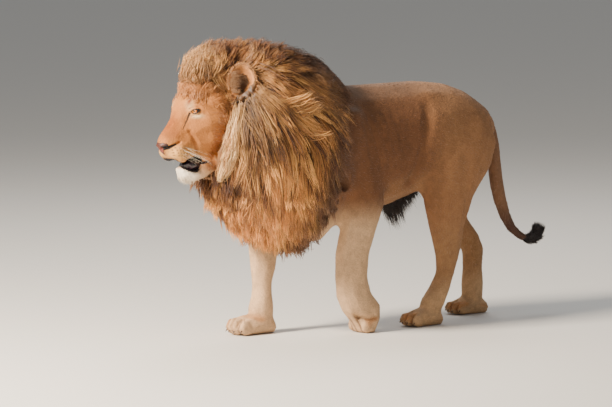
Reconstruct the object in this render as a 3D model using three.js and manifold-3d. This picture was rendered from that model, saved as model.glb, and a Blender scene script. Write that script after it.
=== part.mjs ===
// A young adult male lion, life size, walking with its head low and its left forepaw just landing.
// Millimetres, +Z up, the lion looks along -X and its left side is -Y. The origin is on the floor
// under the middle of its box. Every outline is that of the coat, out to the tips of the hair.
import * as THREE from 'three';
import { mergeVertices } from 'three/addons/utils/BufferGeometryUtils.js';
import Module from 'manifold-3d';

// Driving dimensions
const WITHERS = 1000;          // height of the back over the shoulders
const SEAM = 0.3;              // gap between neighbouring parts
const GROW = 0.5;              // how far a part is swelled before it is cut out of its neighbour
const REACH = 3000;            // larger than the whole animal, for the cutting blocks
const CHEST_WIDTH = 376;
const HIP_WIDTH = 300;
const FORE_TRACK = 235;        // between the middles of the forepaws
const HIND_TRACK = 200;        // between the middles of the hind paws
const HEAD_WIDTH = 236;        // across the cheekbones
const MANE_WIDTH = 540;
const MANE_TOP = 1196;
const EYE_RADIUS = 20;
const EYE_APART = 124;         // between the middles of the eyeballs
const FOREPAW_WIDTH = 126;
const HIND_PAW_WIDTH = 116;

const wasm = await Module();
wasm.setup();

// A closed geometry as a solid that can be joined and cut
function solid(geometry) {
  geometry.deleteAttribute('normal');
  geometry.deleteAttribute('uv');
  const merged = mergeVertices(geometry, 1e-4);
  return new wasm.Manifold(new wasm.Mesh({
    numProp: 3,
    vertProperties: new Float32Array(merged.attributes.position.array),
    triVerts: new Uint32Array(merged.index.array),
  }));
}

// A body drawn through cross sections. Each section is an egg between its points a and b, given as
// [x, z], with its half width w about the lateral place y. mid says how far up from b the egg is
// widest. caps says how far the closed ends bulge past the first and last sections, in capRows steps,
// and grow swells the body all round.
function loft(sections, { around, along, caps, grow = 0, capRows = 1 }) {
  const track = pick => new THREE.CatmullRomCurve3(sections.map(pick), false, 'centripetal');
  const aTrack = track(s => new THREE.Vector3(s.a[0], 0, s.a[1]));
  const bTrack = track(s => new THREE.Vector3(s.b[0], 0, s.b[1]));
  const sizes = track(s => new THREE.Vector3(s.w, s.y ?? 0, 100 * (s.mid ?? 0.5)));
  const rows = along + 2 * capRows;
  const geometry = new THREE.SphereGeometry(1, around, rows);
  const place = geometry.attributes.position;
  const middle = t => aTrack.getPoint(t).add(bTrack.getPoint(t)).multiplyScalar(0.5);
  const startWay = middle(0).sub(middle(0.04)).normalize();
  const endWay = middle(1).sub(middle(0.96)).normalize();
  for (let i = 0; i < place.count; i += 1) {
    const row = Math.floor(i / (around + 1));
    const turn = ((i % (around + 1)) % around) * 2 * Math.PI / around;
    const t = THREE.MathUtils.clamp((row - capRows) / along, 0, 1);
    const startCap = Math.max(0, capRows - row) / capRows;
    const endCap = Math.max(0, row - capRows - along) / capRows;
    const bulge = Math.max(startCap, endCap);
    const shrink = bulge < 1 ? Math.sqrt(1 - bulge * bulge) : 0;
    const top = aTrack.getPoint(t);
    const bottom = bTrack.getPoint(t);
    const size = sizes.getPoint(t);
    const mid = size.z / 100;
    const height = top.distanceTo(bottom);
    const up = top.clone().sub(bottom).divideScalar(height);
    const rise = Math.sin(turn);
    const centre = bottom.clone().addScaledVector(up, height * mid);
    const half = (rise > 0 ? 1 - mid : mid) * height + grow;
    const point = centre.addScaledVector(up, shrink * rise * half);
    point.y = size.y + shrink * Math.cos(turn) * (size.x + grow);
    point.addScaledVector(startWay, startCap ? (caps[0] + grow) * bulge : 0);
    point.addScaledVector(endWay, endCap ? (caps[1] + grow) * bulge : 0);
    place.setXYZ(i, point.x, point.y, point.z);
  }
  const body = solid(geometry);
  return body.volume() > 0 ? body : solid(turnedOver(geometry));
}

// The same geometry with its faces turned to look the other way
function turnedOver(geometry) {
  const index = geometry.index;
  for (let i = 0; i < index.count; i += 3) {
    const first = index.getX(i);
    index.setX(i, index.getX(i + 1));
    index.setX(i + 1, first);
  }
  return geometry;
}

// Sections of a round rod along a path of [x, z, radius]
function rod(path) {
  return path.map(([x, z, r], i) => {
    const before = path[Math.max(0, i - 1)];
    const after = path[Math.min(path.length - 1, i + 1)];
    const way = new THREE.Vector2(after[0] - before[0], after[1] - before[1]).normalize();
    return { a: [x - way.y * r, z + way.x * r], b: [x + way.y * r, z - way.x * r], w: r };
  });
}

// An egg with its radii along x, y and z, turned about Y by pitch and about Z by yaw
function egg([x, y, z], [rx, ry, rz], { pitch = 0, yaw = 0, around = 12, along = 8, grow = 0 } = {}) {
  const geometry = new THREE.SphereGeometry(1, around, along);
  geometry.scale(rx + grow, ry + grow, rz + grow);
  geometry.rotateY(THREE.MathUtils.degToRad(pitch));
  geometry.rotateZ(THREE.MathUtils.degToRad(yaw));
  geometry.translate(x, y, z);
  return solid(geometry);
}

// A large block that holds everything on the side of the point that the direction looks to
function beyond([x, y, z], [dx, dy, dz]) {
  const geometry = new THREE.BoxGeometry(REACH, REACH, REACH);
  const way = new THREE.Vector3(dx, dy, dz).normalize();
  geometry.translate(REACH / 2, 0, 0);
  geometry.applyQuaternion(new THREE.Quaternion().setFromUnitVectors(new THREE.Vector3(1, 0, 0), way));
  geometry.translate(x, y, z);
  return solid(geometry);
}

// The space on the far side of every plane, each [point, direction], swelled by gap
function region(planes, gap = 0) {
  return planes.map(([point, way]) => {
    const length = Math.hypot(...way);
    return beyond(point.map((value, i) => value - gap * way[i] / length), way);
  }).reduce((space, block) => space.intersect(block));
}

// Parts a solid by planes into the lengths between them, in order, with a seam at each plane
function lengths(body, planes) {
  const pieces = [];
  let rest = body;
  for (const plane of planes) {
    pieces.push(rest.subtract(region([plane], SEAM)));
    rest = rest.intersect(region([plane]));
  }
  pieces.push(rest);
  return pieces;
}

const joined = bodies => bodies.reduce((sum, body) => sum.add(body));
const without = (body, ...others) => others.reduce((rest, other) => rest.subtract(other), body);

// --- Trunk, from the point of the chest to the root of the tail
const chestHalf = CHEST_WIDTH / 2;
const hipHalf = HIP_WIDTH / 2;
const trunkSections = [
  { a: [-600, 930], b: [-640, 590], w: 0.66 * chestHalf },
  { a: [-500, 985], b: [-550, 500], w: 0.92 * chestHalf },
  { a: [-407, WITHERS - 2], b: [-430, 462], w: chestHalf },
  { a: [-250, WITHERS - 6], b: [-270, 470], w: 1.02 * chestHalf, mid: 0.46 },
  { a: [-67, WITHERS], b: [-90, 503], w: chestHalf, mid: 0.46 },
  { a: [100, WITHERS - 8], b: [30, 545], w: 1.14 * hipHalf, mid: 0.5 },
  { a: [225, WITHERS - 40], b: [160, 600], w: hipHalf, mid: 0.55 },
  { a: [330, 898], b: [300, 645], w: 0.85 * hipHalf, mid: 0.6 },
  { a: [392, 838], b: [380, 710], w: 0.5 * hipHalf },
];
const trunk = grow => loft(trunkSections, { around: 14, along: 9, caps: [60, 16], grow });

// --- Neck, hidden in the mane
const neckSections = [
  { a: [-960, 1030], b: [-1000, 810], w: 105 },
  { a: [-860, 1045], b: [-900, 725], w: 126 },
  { a: [-720, 1045], b: [-760, 620], w: 148 },
  { a: [-560, 1000], b: [-600, 540], w: 158 },
];
const neck = grow => loft(neckSections, { around: 9, along: 3, caps: [20, 20], grow });

// --- Head: skull and cheeks, the muzzle with its whisker pads, and the brows
const cheekHalf = HEAD_WIDTH / 2;
const skullSections = [
  { a: [-915, 1020], b: [-925, 830], w: 0.75 * cheekHalf },
  { a: [-1010, 1045], b: [-985, 765], w: 0.96 * cheekHalf, mid: 0.5 },
  { a: [-1090, 1042], b: [-1030, 735], w: cheekHalf, mid: 0.5 },
  { a: [-1154, 1014], b: [-1075, 728], w: 0.9 * cheekHalf, mid: 0.5 },
  { a: [-1198, 962], b: [-1108, 736], w: 0.7 * cheekHalf, mid: 0.52 },
  { a: [-1222, 908], b: [-1145, 742], w: 0.5 * cheekHalf, mid: 0.48 },
];
const muzzleSections = [
  { a: [-1196, 940], b: [-1100, 742], w: 64, mid: 0.4 },
  { a: [-1226, 902], b: [-1150, 738], w: 56, mid: 0.36 },
  { a: [-1257, 862], b: [-1205, 732], w: 52, mid: 0.36 },
  { a: [-1284, 832], b: [-1240, 736], w: 43, mid: 0.42 },
];
const WHISKER_PAD = { at: [-1222, 36, 770], radii: [42, 30, 38] };
const BROW = { at: [-1164, 50, 950], radii: [28, 28, 16] };
const sides = [-1, 1];
const onSide = ([x, y, z], side) => [x, side * y, z];

function skull(grow) {
  const small = { around: 7, along: 4, grow };
  return joined([
    loft(skullSections, { around: 12, along: 5, caps: [25, 20], grow }),
    loft(muzzleSections, { around: 10, along: 4, caps: [10, 18], grow, capRows: 2 }),
    ...sides.map(side => egg(onSide(WHISKER_PAD.at, side), WHISKER_PAD.radii, { ...small, pitch: -30 })),
    ...sides.map(side => egg(onSide(BROW.at, side), BROW.radii, { ...small, pitch: 40 })),
  ]);
}

// --- Eyes and nose leather
const eyeAt = side => [-1160, side * EYE_APART / 2, 922];
const eyeball = (side, grow) => egg(eyeAt(side), [EYE_RADIUS, EYE_RADIUS, EYE_RADIUS],
  { around: 10, along: 6, grow });
const noseSections = [
  { a: [-1262, 812], b: [-1246, 778], w: 34, mid: 0.7 },
  { a: [-1284, 806], b: [-1258, 762], w: 33, mid: 0.75 },
  { a: [-1298, 798], b: [-1270, 756], w: 20, mid: 0.8 },
];
const noseLeather = grow => loft(noseSections, { around: 8, along: 2, caps: [6, 7], grow });

// --- Lower jaw, dropped a little, with the lips parted
const jawSections = [
  { a: [-1000, 800], b: [-1010, 700], w: 80 },
  { a: [-1070, 770], b: [-1060, 662], w: 74, mid: 0.5 },
  { a: [-1116, 706], b: [-1104, 648], w: 58, mid: 0.5 },
  { a: [-1158, 698], b: [-1144, 637], w: 46, mid: 0.55 },
  { a: [-1190, 710], b: [-1180, 648], w: 32, mid: 0.6 },
];
const jaw = grow => loft(jawSections, { around: 10, along: 5, caps: [15, 12], grow, capRows: 2 });

// --- Ears: round cups that open forward and outward
const EAR = { at: [-984, 130, 1035], wide: 54, tall: 68, deep: 30, wall: 8, turn: 52 };
function wholeEar(side, grow) {
  const [x, y, z] = EAR.at;
  const cup = egg([x, side * y, z], [EAR.deep, EAR.wide, EAR.tall],
    { yaw: side * -EAR.turn, around: 9, along: 5, grow });
  const root = egg([x - 4, side * (y - 12), z - 48], [30, 30, 34], { around: 5, along: 3, grow });
  return cup.add(root);
}
function ear(side) {
  const yaw = side * -EAR.turn;
  const way = new THREE.Vector3(-1, 0, 0).applyAxisAngle(new THREE.Vector3(0, 0, 1),
    THREE.MathUtils.degToRad(yaw));
  const centre = new THREE.Vector3(...onSide(EAR.at, side));
  const hollowAt = centre.clone().addScaledVector(way, 0.62 * EAR.deep);
  const rim = centre.clone().addScaledVector(way, 0.12 * EAR.deep);
  const hollow = egg(hollowAt.toArray(), [1.12 * EAR.deep, EAR.wide - EAR.wall, EAR.tall - EAR.wall],
    { yaw, around: 9, along: 5 });
  return without(wholeEar(side, 0), hollow, beyond(rim.toArray(), way.toArray()), skull(GROW));
}

// --- Mane: a ruff round the neck with a slanting front, a crest over the skull, and cheek locks
const maneHalf = MANE_WIDTH / 2;
const ruffSections = [
  { a: [-985, 1110], b: [-1085, 668], w: 0.56 * maneHalf, mid: 0.45 },
  { a: [-940, 1172], b: [-1050, 600], w: 0.8 * maneHalf, mid: 0.45 },
  { a: [-880, MANE_TOP - 4], b: [-985, 520], w: 0.94 * maneHalf, mid: 0.45 },
  { a: [-790, MANE_TOP - 8], b: [-880, 425], w: maneHalf, mid: 0.46 },
  { a: [-690, MANE_TOP - 20], b: [-760, 372], w: maneHalf, mid: 0.48 },
  { a: [-600, 1150], b: [-640, 352], w: 0.97 * maneHalf, mid: 0.5 },
  { a: [-520, 1108], b: [-525, 362], w: 0.89 * maneHalf, mid: 0.52 },
  { a: [-455, 1052], b: [-455, 415], w: 0.8 * maneHalf, mid: 0.54 },
  { a: [-395, 1010], b: [-405, 540], w: 0.72 * maneHalf, mid: 0.56 },
];
const crestSections = [
  { a: [-1178, 1064], b: [-1140, 990], w: 60 },
  { a: [-1150, 1128], b: [-1090, 960], w: 84 },
  { a: [-1070, 1176], b: [-1040, 950], w: 96 },
  { a: [-980, MANE_TOP - 4], b: [-980, 950], w: 100 },
  { a: [-880, 1180], b: [-890, 960], w: 100 },
];
const cheekLockSections = [
  { a: [-1022, 962], b: [-945, 960], w: 22, y: 130 },
  { a: [-1072, 860], b: [-965, 850], w: 34, y: 134 },
  { a: [-1090, 790], b: [-965, 760], w: 38, y: 128 },
  { a: [-1094, 720], b: [-980, 690], w: 34, y: 114 },
  { a: [-1086, 664], b: [-1030, 645], w: 22, y: 100 },
];
const cheekLock = (side, grow) => loft(cheekLockSections.map(s => ({ ...s, y: side * s.y })),
  { around: 7, along: 4, caps: [10, 16], grow });

// --- Legs: sections run from the shoulder or hip down to the wrist or hock and into the paw
const foreHalf = FORE_TRACK / 2;
const hindHalf = HIND_TRACK / 2;
const leftForeSections = [
  { a: [-520, 900], b: [-385, 895], w: 40, y: -138 },
  { a: [-565, 780], b: [-330, 775], w: 56, y: -142 },
  { a: [-580, 680], b: [-290, 670], w: 70, y: -142 },
  { a: [-535, 580], b: [-262, 575], w: 74, y: -139 },
  { a: [-470, 487], b: [-272, 487], w: 70, y: -131 },
  { a: [-484, 404], b: [-308, 404], w: 66, y: -124 },
  { a: [-498, 320], b: [-332, 320], w: 62, y: -foreHalf },
  { a: [-500, 240], b: [-340, 240], w: 58, y: -foreHalf },
  { a: [-500, 180], b: [-338, 180], w: 58, y: -foreHalf },
  { a: [-478, 120], b: [-290, 132], w: 58, y: -foreHalf },
  { a: [-448, 72], b: [-272, 90], w: 60, y: -foreHalf },
  { a: [-412, 36], b: [-282, 46], w: 56, y: -foreHalf },
  { a: [-386, -2], b: [-304, 2], w: 46, y: -foreHalf },
];
const rightForeSections = [
  { a: [-560, 880], b: [-425, 875], w: 40, y: 138 },
  { a: [-625, 770], b: [-400, 765], w: 56, y: 142 },
  { a: [-695, 660], b: [-400, 650], w: 70, y: 142 },
  { a: [-740, 560], b: [-460, 540], w: 72, y: 136 },
  { a: [-756, 465], b: [-570, 450], w: 62, y: 124 },
  { a: [-758, 384], b: [-612, 375], w: 56, y: foreHalf },
  { a: [-750, 300], b: [-606, 320], w: 55, y: foreHalf },
  { a: [-740, 234], b: [-632, 240], w: 48, y: foreHalf },
  { a: [-733, 182], b: [-645, 182], w: 45, y: foreHalf },
  { a: [-738, 138], b: [-643, 142], w: 46, y: foreHalf },
  { a: [-752, 98], b: [-638, 100], w: 50, y: foreHalf },
  { a: [-750, 50], b: [-640, 50], w: 50, y: foreHalf },
];
const leftHindSections = [
  { a: [80, 850], b: [340, 830], w: 60, y: -84 },
  { a: [-25, 740], b: [368, 742], w: 78, y: -100 },
  { a: [-72, 645], b: [348, 648], w: 82, y: -106 },
  { a: [-44, 546], b: [256, 546], w: 72, y: -107 },
  { a: [-12, 430], b: [190, 425], w: 56, y: -107 },
  { a: [8, 364], b: [180, 350], w: 48, y: -105 },
  { a: [28, 305], b: [168, 295], w: 44, y: -103 },
  { a: [44, 251], b: [152, 245], w: 42, y: -hindHalf },
  { a: [40, 194], b: [130, 192], w: 40, y: -hindHalf },
  { a: [4, 144], b: [102, 128], w: 44, y: -hindHalf },
  { a: [-30, 100], b: [70, 70], w: 48, y: -hindHalf },
  { a: [-45, 55], b: [45, 35], w: 46, y: -hindHalf },
];
const rightHindSections = [
  { a: [85, 850], b: [345, 830], w: 60, y: 84 },
  { a: [20, 740], b: [368, 742], w: 78, y: 100 },
  { a: [40, 645], b: [368, 655], w: 82, y: 106 },
  { a: [105, 540], b: [368, 565], w: 70, y: 107 },
  { a: [185, 440], b: [362, 470], w: 54, y: 107 },
  { a: [270, 360], b: [388, 395], w: 46, y: 105 },
  { a: [335, 300], b: [440, 330], w: 43, y: 103 },
  { a: [358, 250], b: [466, 272], w: 42, y: hindHalf },
  { a: [360, 190], b: [460, 192], w: 40, y: hindHalf },
  { a: [358, 120], b: [462, 115], w: 42, y: hindHalf },
  { a: [362, 60], b: [455, 55], w: 44, y: hindHalf },
];
const legLoft = (sections, grow) => loft(sections, { around: 9, along: 10, caps: [20, 8], grow });

// A paw flat on the floor, with four toes fanned across its front. heel and tip are places on X.
const TOE_PLACES = [-1.5, -0.5, 0.5, 1.5];
function paw({ heel, tip, y, width, height }, grow) {
  const long = heel - tip;
  const across = (share, top, under, wide) => ({
    a: [heel - share * long, top * height], b: [heel - share * long, under], w: wide * width, y,
  });
  const sections = [across(0.03, 0.72, -8, 0.36), across(0.3, 1, -10, 0.45),
    across(0.56, 0.92, -10, 0.5), across(0.74, 0.7, -8, 0.42)];
  const toeHalf = width / 7.4;
  const toes = TOE_PLACES.map(place => {
    const x = tip + (Math.abs(place) < 1 ? 0.21 : 0.27) * long;
    return egg([x, y + place * 1.68 * toeHalf, 0.3 * height], [0.21 * long, toeHalf, 0.4 * height],
      { yaw: -3 * place, around: 6, along: 4, grow });
  });
  return joined([loft(sections, { around: 8, along: 3, caps: [8, 12], grow }), ...toes]);
}

// The left forepaw stands on the tips of its toes, behind the bent wrist
function tiptoes(grow) {
  const toeHalf = FOREPAW_WIDTH / 7.4;
  return TOE_PLACES.map(place => egg([-372, -foreHalf + place * 1.68 * toeHalf, 26], [30, toeHalf, 34],
    { pitch: -35, around: 6, along: 4, grow }));
}

const rightForepaw = { heel: -636, tip: -856, y: foreHalf, width: FOREPAW_WIDTH, height: 86 };
const leftHindPaw = { heel: 60, tip: -134, y: -hindHalf, width: HIND_PAW_WIDTH, height: 78 };
const rightHindPaw = { heel: 472, tip: 280, y: hindHalf, width: HIND_PAW_WIDTH, height: 76 };
const legs = grow => joined([
  legLoft(leftForeSections, grow), ...tiptoes(grow),
  legLoft(rightForeSections, grow), paw(rightForepaw, grow),
  legLoft(leftHindSections, grow), paw(leftHindPaw, grow),
  legLoft(rightHindSections, grow), paw(rightHindPaw, grow),
]);

// The space that holds a leg: outward of a plane that leans from the armpit or groin up the side,
// and between one plane in front of it and one behind it. Each plane is [point, direction].
function legSpace(side, { inner, outer, front, rear }) {
  const lean = [0, side * (outer[1] - inner[1]), inner[0] - outer[0]];
  return [[[0, side * 4, 0], [0, side, 0]], [[0, side * inner[0], inner[1]], lean], front, rear];
}
const armpit = { inner: [40, 470], outer: [170, 930] };
const groin = { inner: [12, 540], outer: [150, 880] };
const LEGS = [
  { side: 'left', names: ['upper_arm', 'forearm', 'forepaw'],
    space: legSpace(-1, { ...armpit, front: [[-640, 0, 600], [1, 0, -0.1]],
      rear: [[-250, 0, 550], [-1, 0, -0.15]] }),
    cuts: [[[-370, 0, 452], [0, 0, -1]], [[-400, 0, 160], [0, 0, -1]]] },
  { side: 'right', names: ['upper_arm', 'forearm', 'forepaw'],
    space: legSpace(1, { ...armpit, front: [[-780, 0, 600], [1, 0, -0.25]],
      rear: [[-380, 0, 550], [-1, 0, -0.35]] }),
    cuts: [[[-660, 0, 452], [0, 0, -1]], [[-700, 0, 115], [0, 0, -1]]] },
  { side: 'left', names: ['thigh', 'shank', 'foot'],
    space: legSpace(-1, { ...groin, front: [[-95, 0, 560], [1, 0, -0.75]],
      rear: [[390, 0, 700], [-1, 0, -0.6]] }),
    cuts: [[[80, 0, 440], [0.1, 0, -1]], [[90, 0, 232], [0.5, 0, -1]]] },
  { side: 'right', names: ['thigh', 'shank', 'foot'],
    space: legSpace(1, { ...groin, front: [[-60, 0, 560], [1, 0, -0.75]],
      rear: [[400, 0, 700], [-1, 0, -0.6]] }),
    cuts: [[[260, 0, 440], [0.5, 0, -1]], [[420, 0, 262], [0.1, 0, -1]]] },
];

// --- Tail, hanging behind the rump and curling up to a dark tuft
const tailPath = [
  [346, 846, 32], [386, 808, 35], [417, 760, 32], [436, 700, 30], [443, 622, 32], [455, 545, 33],
  [474, 476, 31], [500, 412, 27], [536, 356, 23], [583, 320, 20], [628, 304, 20],
];
const tuftPath = [[612, 306, 21], [650, 304, 33], [682, 322, 38], [686, 350, 31]];
const tail = grow => loft(rod(tailPath), { around: 7, along: 10, caps: [10, 8], grow });
const tuft = grow => loft(rod(tuftPath), { around: 8, along: 4, caps: [8, 16], grow, capRows: 2 });

// --- Fringe of longer hair under the belly
const fringeSections = [
  { a: [-170, 520], b: [-172, 452], w: 12 },
  { a: [-130, 530], b: [-145, 424], w: 20 },
  { a: [-70, 540], b: [-85, 462], w: 18 },
  { a: [-5, 560], b: [-15, 512], w: 10 },
];

// --- The body whole, then parted with thin cuts
const floor = [[0, 0, 0], [0, 0, 1]];
const flesh = grow => joined([trunk(grow), neck(grow), skull(grow), jaw(grow), legs(grow)]);
const parts = {};
let rest = without(flesh(0), noseLeather(SEAM), ...sides.map(side => eyeball(side, SEAM)))
  .intersect(region([floor]));
for (const { side, names, space, cuts } of LEGS) {
  lengths(rest.intersect(region(space)), cuts).forEach((piece, i) => {
    parts[`${names[i]}_${side}`] = piece;
  });
  rest = rest.subtract(region(space, SEAM));
}
const jawSpace = [[[-1123, 0, 705], [-0.17, 0, -1]], [[-1010, 0, 700], [-1, 0, 0]]];
parts.lower_jaw = rest.intersect(region(jawSpace));
rest = rest.subtract(region(jawSpace, SEAM));
const TRUNK_NAMES = ['head', 'neck', 'chest', 'belly', 'rump'];
const TRUNK_CUTS = [[[-965, 0, 900], [1, 0, 0.2]], [[-650, 0, 760], [1, 0, 0.25]],
  [[-310, 0, 0], [1, 0, 0]], [[60, 0, 0], [1, 0, 0]]];
lengths(rest, TRUNK_CUTS).forEach((piece, i) => {
  parts[TRUNK_NAMES[i]] = piece;
});
parts.nose = noseLeather(0);
const fleshSpace = flesh(GROW);
for (const side of sides) {
  const name = side < 0 ? 'left' : 'right';
  parts[`eye_${name}`] = eyeball(side, 0);
  parts[`ear_${name}`] = ear(side);
  parts[`mane_cheek_${name}`] = without(cheekLock(side, 0), fleshSpace, wholeEar(side, SEAM));
}

const ruff = loft(ruffSections, { around: 14, along: 8, caps: [25, 30] });
const crest = loft(crestSections, { around: 9, along: 4, caps: [14, 30], capRows: 2 });
const mane = without(ruff.add(crest), fleshSpace, ...sides.flatMap(side => [wholeEar(side, GROW),
  cheekLock(side, GROW)]));
const [maneCrest, maneBelow] = lengths(mane, [[[-800, 0, 985], [0, 0, -1]]]);
const [maneSides, maneChest] = lengths(maneBelow, [[[-800, 0, 590], [0, 0, -1]]]);
[parts.mane_right, parts.mane_left] = lengths(maneSides, [[[0, 0, 0], [0, -1, 0]]]);
Object.assign(parts, { mane_crest: maneCrest, mane_chest: maneChest });

const TAIL_CUTS = [[[449, 0, 650], [0.05, 0, -1]], [[500, 0, 425], [0.5, 0, -1]]];
const [tailRoot, tailMiddle, tailEnd] = lengths(without(tail(0), fleshSpace, tuft(GROW)), TAIL_CUTS);
Object.assign(parts, { tail_root: tailRoot, tail_middle: tailMiddle, tail_end: tailEnd, tail_tuft: tuft(0) });
parts.belly_fringe = without(loft(fringeSections, { around: 6, along: 3, caps: [8, 8] }), fleshSpace);

// --- The animal as named meshes, each with the colour and finish of its coat or skin
const FINISH = {
  coat: { color: 0xb98d5f, roughness: 0.85 },
  pale_coat: { color: 0xd9b98c, roughness: 0.85 },
  mane: { color: 0x9c6a35, roughness: 0.8 },
  dark_hair: { color: 0x2a1b14, roughness: 0.8 },
  nose: { color: 0x8a5148, roughness: 0.5 },
  eye: { color: 0xc07c2a, roughness: 0.1 },
};
const FINISH_OF = [
  [/^eye/, 'eye'], [/^nose/, 'nose'], [/^mane/, 'mane'], [/tuft|fringe/, 'dark_hair'],
  [/forearm|paw|foot|jaw/, 'pale_coat'], [/./, 'coat'],
];
const lion = new THREE.Group();
for (const [name, body] of Object.entries(parts)) {
  const { vertProperties, triVerts } = body.getMesh();
  const geometry = new THREE.BufferGeometry();
  geometry.setAttribute('position', new THREE.BufferAttribute(vertProperties, 3));
  geometry.setIndex(new THREE.BufferAttribute(triVerts, 1));
  geometry.computeVertexNormals();
  const finish = FINISH[FINISH_OF.find(([pattern]) => pattern.test(name))[1]];
  const mesh = new THREE.Mesh(geometry, new THREE.MeshStandardMaterial({ ...finish, metalness: 0 }));
  mesh.name = name;
  lion.add(mesh);
}
const box = new THREE.Box3().setFromObject(lion);
const middle = box.getCenter(new THREE.Vector3());
lion.position.set(-middle.x, -middle.y, -box.min.z);
lion.updateMatrixWorld(true);

export default lion;
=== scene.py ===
import math
import bmesh
import bpy
import numpy as np
from mathutils import Matrix, Vector, kdtree
from mathutils.bvhtree import BVHTree


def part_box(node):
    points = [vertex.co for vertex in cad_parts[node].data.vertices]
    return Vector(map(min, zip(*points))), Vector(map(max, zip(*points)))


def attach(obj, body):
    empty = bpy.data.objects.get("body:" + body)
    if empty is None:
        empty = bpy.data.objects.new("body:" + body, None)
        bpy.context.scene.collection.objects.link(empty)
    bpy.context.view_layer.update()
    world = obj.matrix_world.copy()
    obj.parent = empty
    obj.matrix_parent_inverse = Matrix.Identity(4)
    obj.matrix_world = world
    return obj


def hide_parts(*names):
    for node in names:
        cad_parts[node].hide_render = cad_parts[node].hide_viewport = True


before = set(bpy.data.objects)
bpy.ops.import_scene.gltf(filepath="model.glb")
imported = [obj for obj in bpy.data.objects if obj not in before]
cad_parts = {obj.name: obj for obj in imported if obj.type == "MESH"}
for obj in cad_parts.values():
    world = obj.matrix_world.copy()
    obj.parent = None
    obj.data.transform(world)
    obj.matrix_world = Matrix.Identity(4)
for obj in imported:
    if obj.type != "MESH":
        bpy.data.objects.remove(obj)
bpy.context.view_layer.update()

# --- The lion's own frame: its middle line is y = 0 and its eyes are 1160 mm ahead of the zero of x.
# Places on the animal are written in it, in metres, and the row frame lies AHEAD further along x.
EYE_X = -1.160
low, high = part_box("eye_left")
AHEAD = (low.x + high.x) / 2 - EYE_X


# --- Camera: a long lens from the animal's left front, a little above its eye line. It stands still
# and looks along one direction, so the place alone decides where the animal is in the picture.
LENS = 271.61                  # focal length in millimetres, on a sensor 36 mm wide
CAMERA_AZIMUTH, CAMERA_HEIGHT = -39, 5.5     # degrees round the animal from its left side, and up


def look_from(azimuth, elevation):
    """The way to a place round the animal and above it: azimuth 0 is its left side, -90 its face."""
    a, e = math.radians(azimuth), math.radians(elevation)
    return Vector((math.sin(a) * math.cos(e), -math.cos(a) * math.cos(e), math.sin(e)))


lens = bpy.data.cameras.new("camera")
lens.sensor_width = 36
lens.lens = LENS
lens.clip_end = 60
camera = bpy.data.objects.new("camera", lens)
camera.location = (-12.10077 + AHEAD, -14.25593, 2.28757)
camera.rotation_euler = (-look_from(CAMERA_AZIMUTH, CAMERA_HEIGHT)).to_track_quat("-Z", "Y").to_euler()
bpy.context.scene.collection.objects.link(camera)
bpy.context.scene.camera = camera


# --- Studio: a plain pale floor that fades into a pale sky, a large soft key lamp high on the left,
# a broad fill from the front and a rim lamp behind.
def linear(code):
    """A colour of the screen, such as "#d9d6d0", as the light that Blender mixes."""
    parts = [int(code[i:i + 2], 16) / 255 for i in (1, 3, 5)]
    return tuple(p / 12.92 if p < 0.04045 else ((p + 0.055) / 1.055) ** 2.4 for p in parts)


def new_material(name):
    """An empty material, ready for its nodes."""
    material = bpy.data.materials.new(name)
    material.use_nodes = True
    material.node_tree.nodes.clear()
    return material


def add(material, kind, links=(), **settings):
    """Adds a node, sets its sockets and properties, and links (socket, from node, from output)."""
    node = material.node_tree.nodes.new(kind)
    for name, value in settings.items():
        socket = name.replace("_", " ")
        if hasattr(node, name):
            setattr(node, name, value)
        elif socket in node.inputs:
            node.inputs[socket].default_value = value
        else:
            node.inputs[int(name[1:])].default_value = value
    for socket, source, output in links:
        material.node_tree.links.new(source.outputs[output], node.inputs[socket])
    return node


def made_mesh(bm, name):
    """The mesh that a finished bmesh describes."""
    mesh = bpy.data.meshes.new(name)
    bm.to_mesh(mesh)
    bm.free()
    return mesh


paper = new_material("pale studio floor, matt")
shader = add(paper, "ShaderNodeBsdfPrincipled", Base_Color=(*linear("#d9d6d0"), 1), Roughness=0.9)
add(paper, "ShaderNodeOutputMaterial", [("Surface", shader, "BSDF")])

bm = bmesh.new()
bmesh.ops.create_grid(bm, x_segments=1, y_segments=1, size=40)
mesh = made_mesh(bm, "floor")
floor = bpy.data.objects.new("floor", mesh)
mesh.materials.append(paper)
bpy.context.scene.collection.objects.link(floor)

sky = bpy.data.worlds.new("soft studio sky")
sky.use_nodes = True
sky.node_tree.nodes["Background"].inputs["Color"].default_value = (*linear("#e4e6e8"), 1)
sky.node_tree.nodes["Background"].inputs["Strength"].default_value = 0.4
bpy.context.scene.world = sky

for name, azimuth, elevation, distance, size, watts in (
        ("key", -90, 30, 6.0, 1.2, 1300), ("fill", -62, 20, 8.0, 4.0, 60), ("rim", 140, 48, 6.0, 2.5, 150)):
    lamp = bpy.data.lights.new(name, "AREA")
    lamp.color = (1.0, 0.86, 0.70) if name == "key" else (1, 1, 1)
    lamp.size = size
    lamp.energy = watts
    holder = bpy.data.objects.new(name, lamp)
    way = look_from(azimuth, elevation)
    holder.location = Vector((0, 0, 0.7)) + way * distance
    holder.rotation_euler = (-way).to_track_quat("-Z", "Y").to_euler()
    bpy.context.scene.collection.objects.link(holder)

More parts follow.
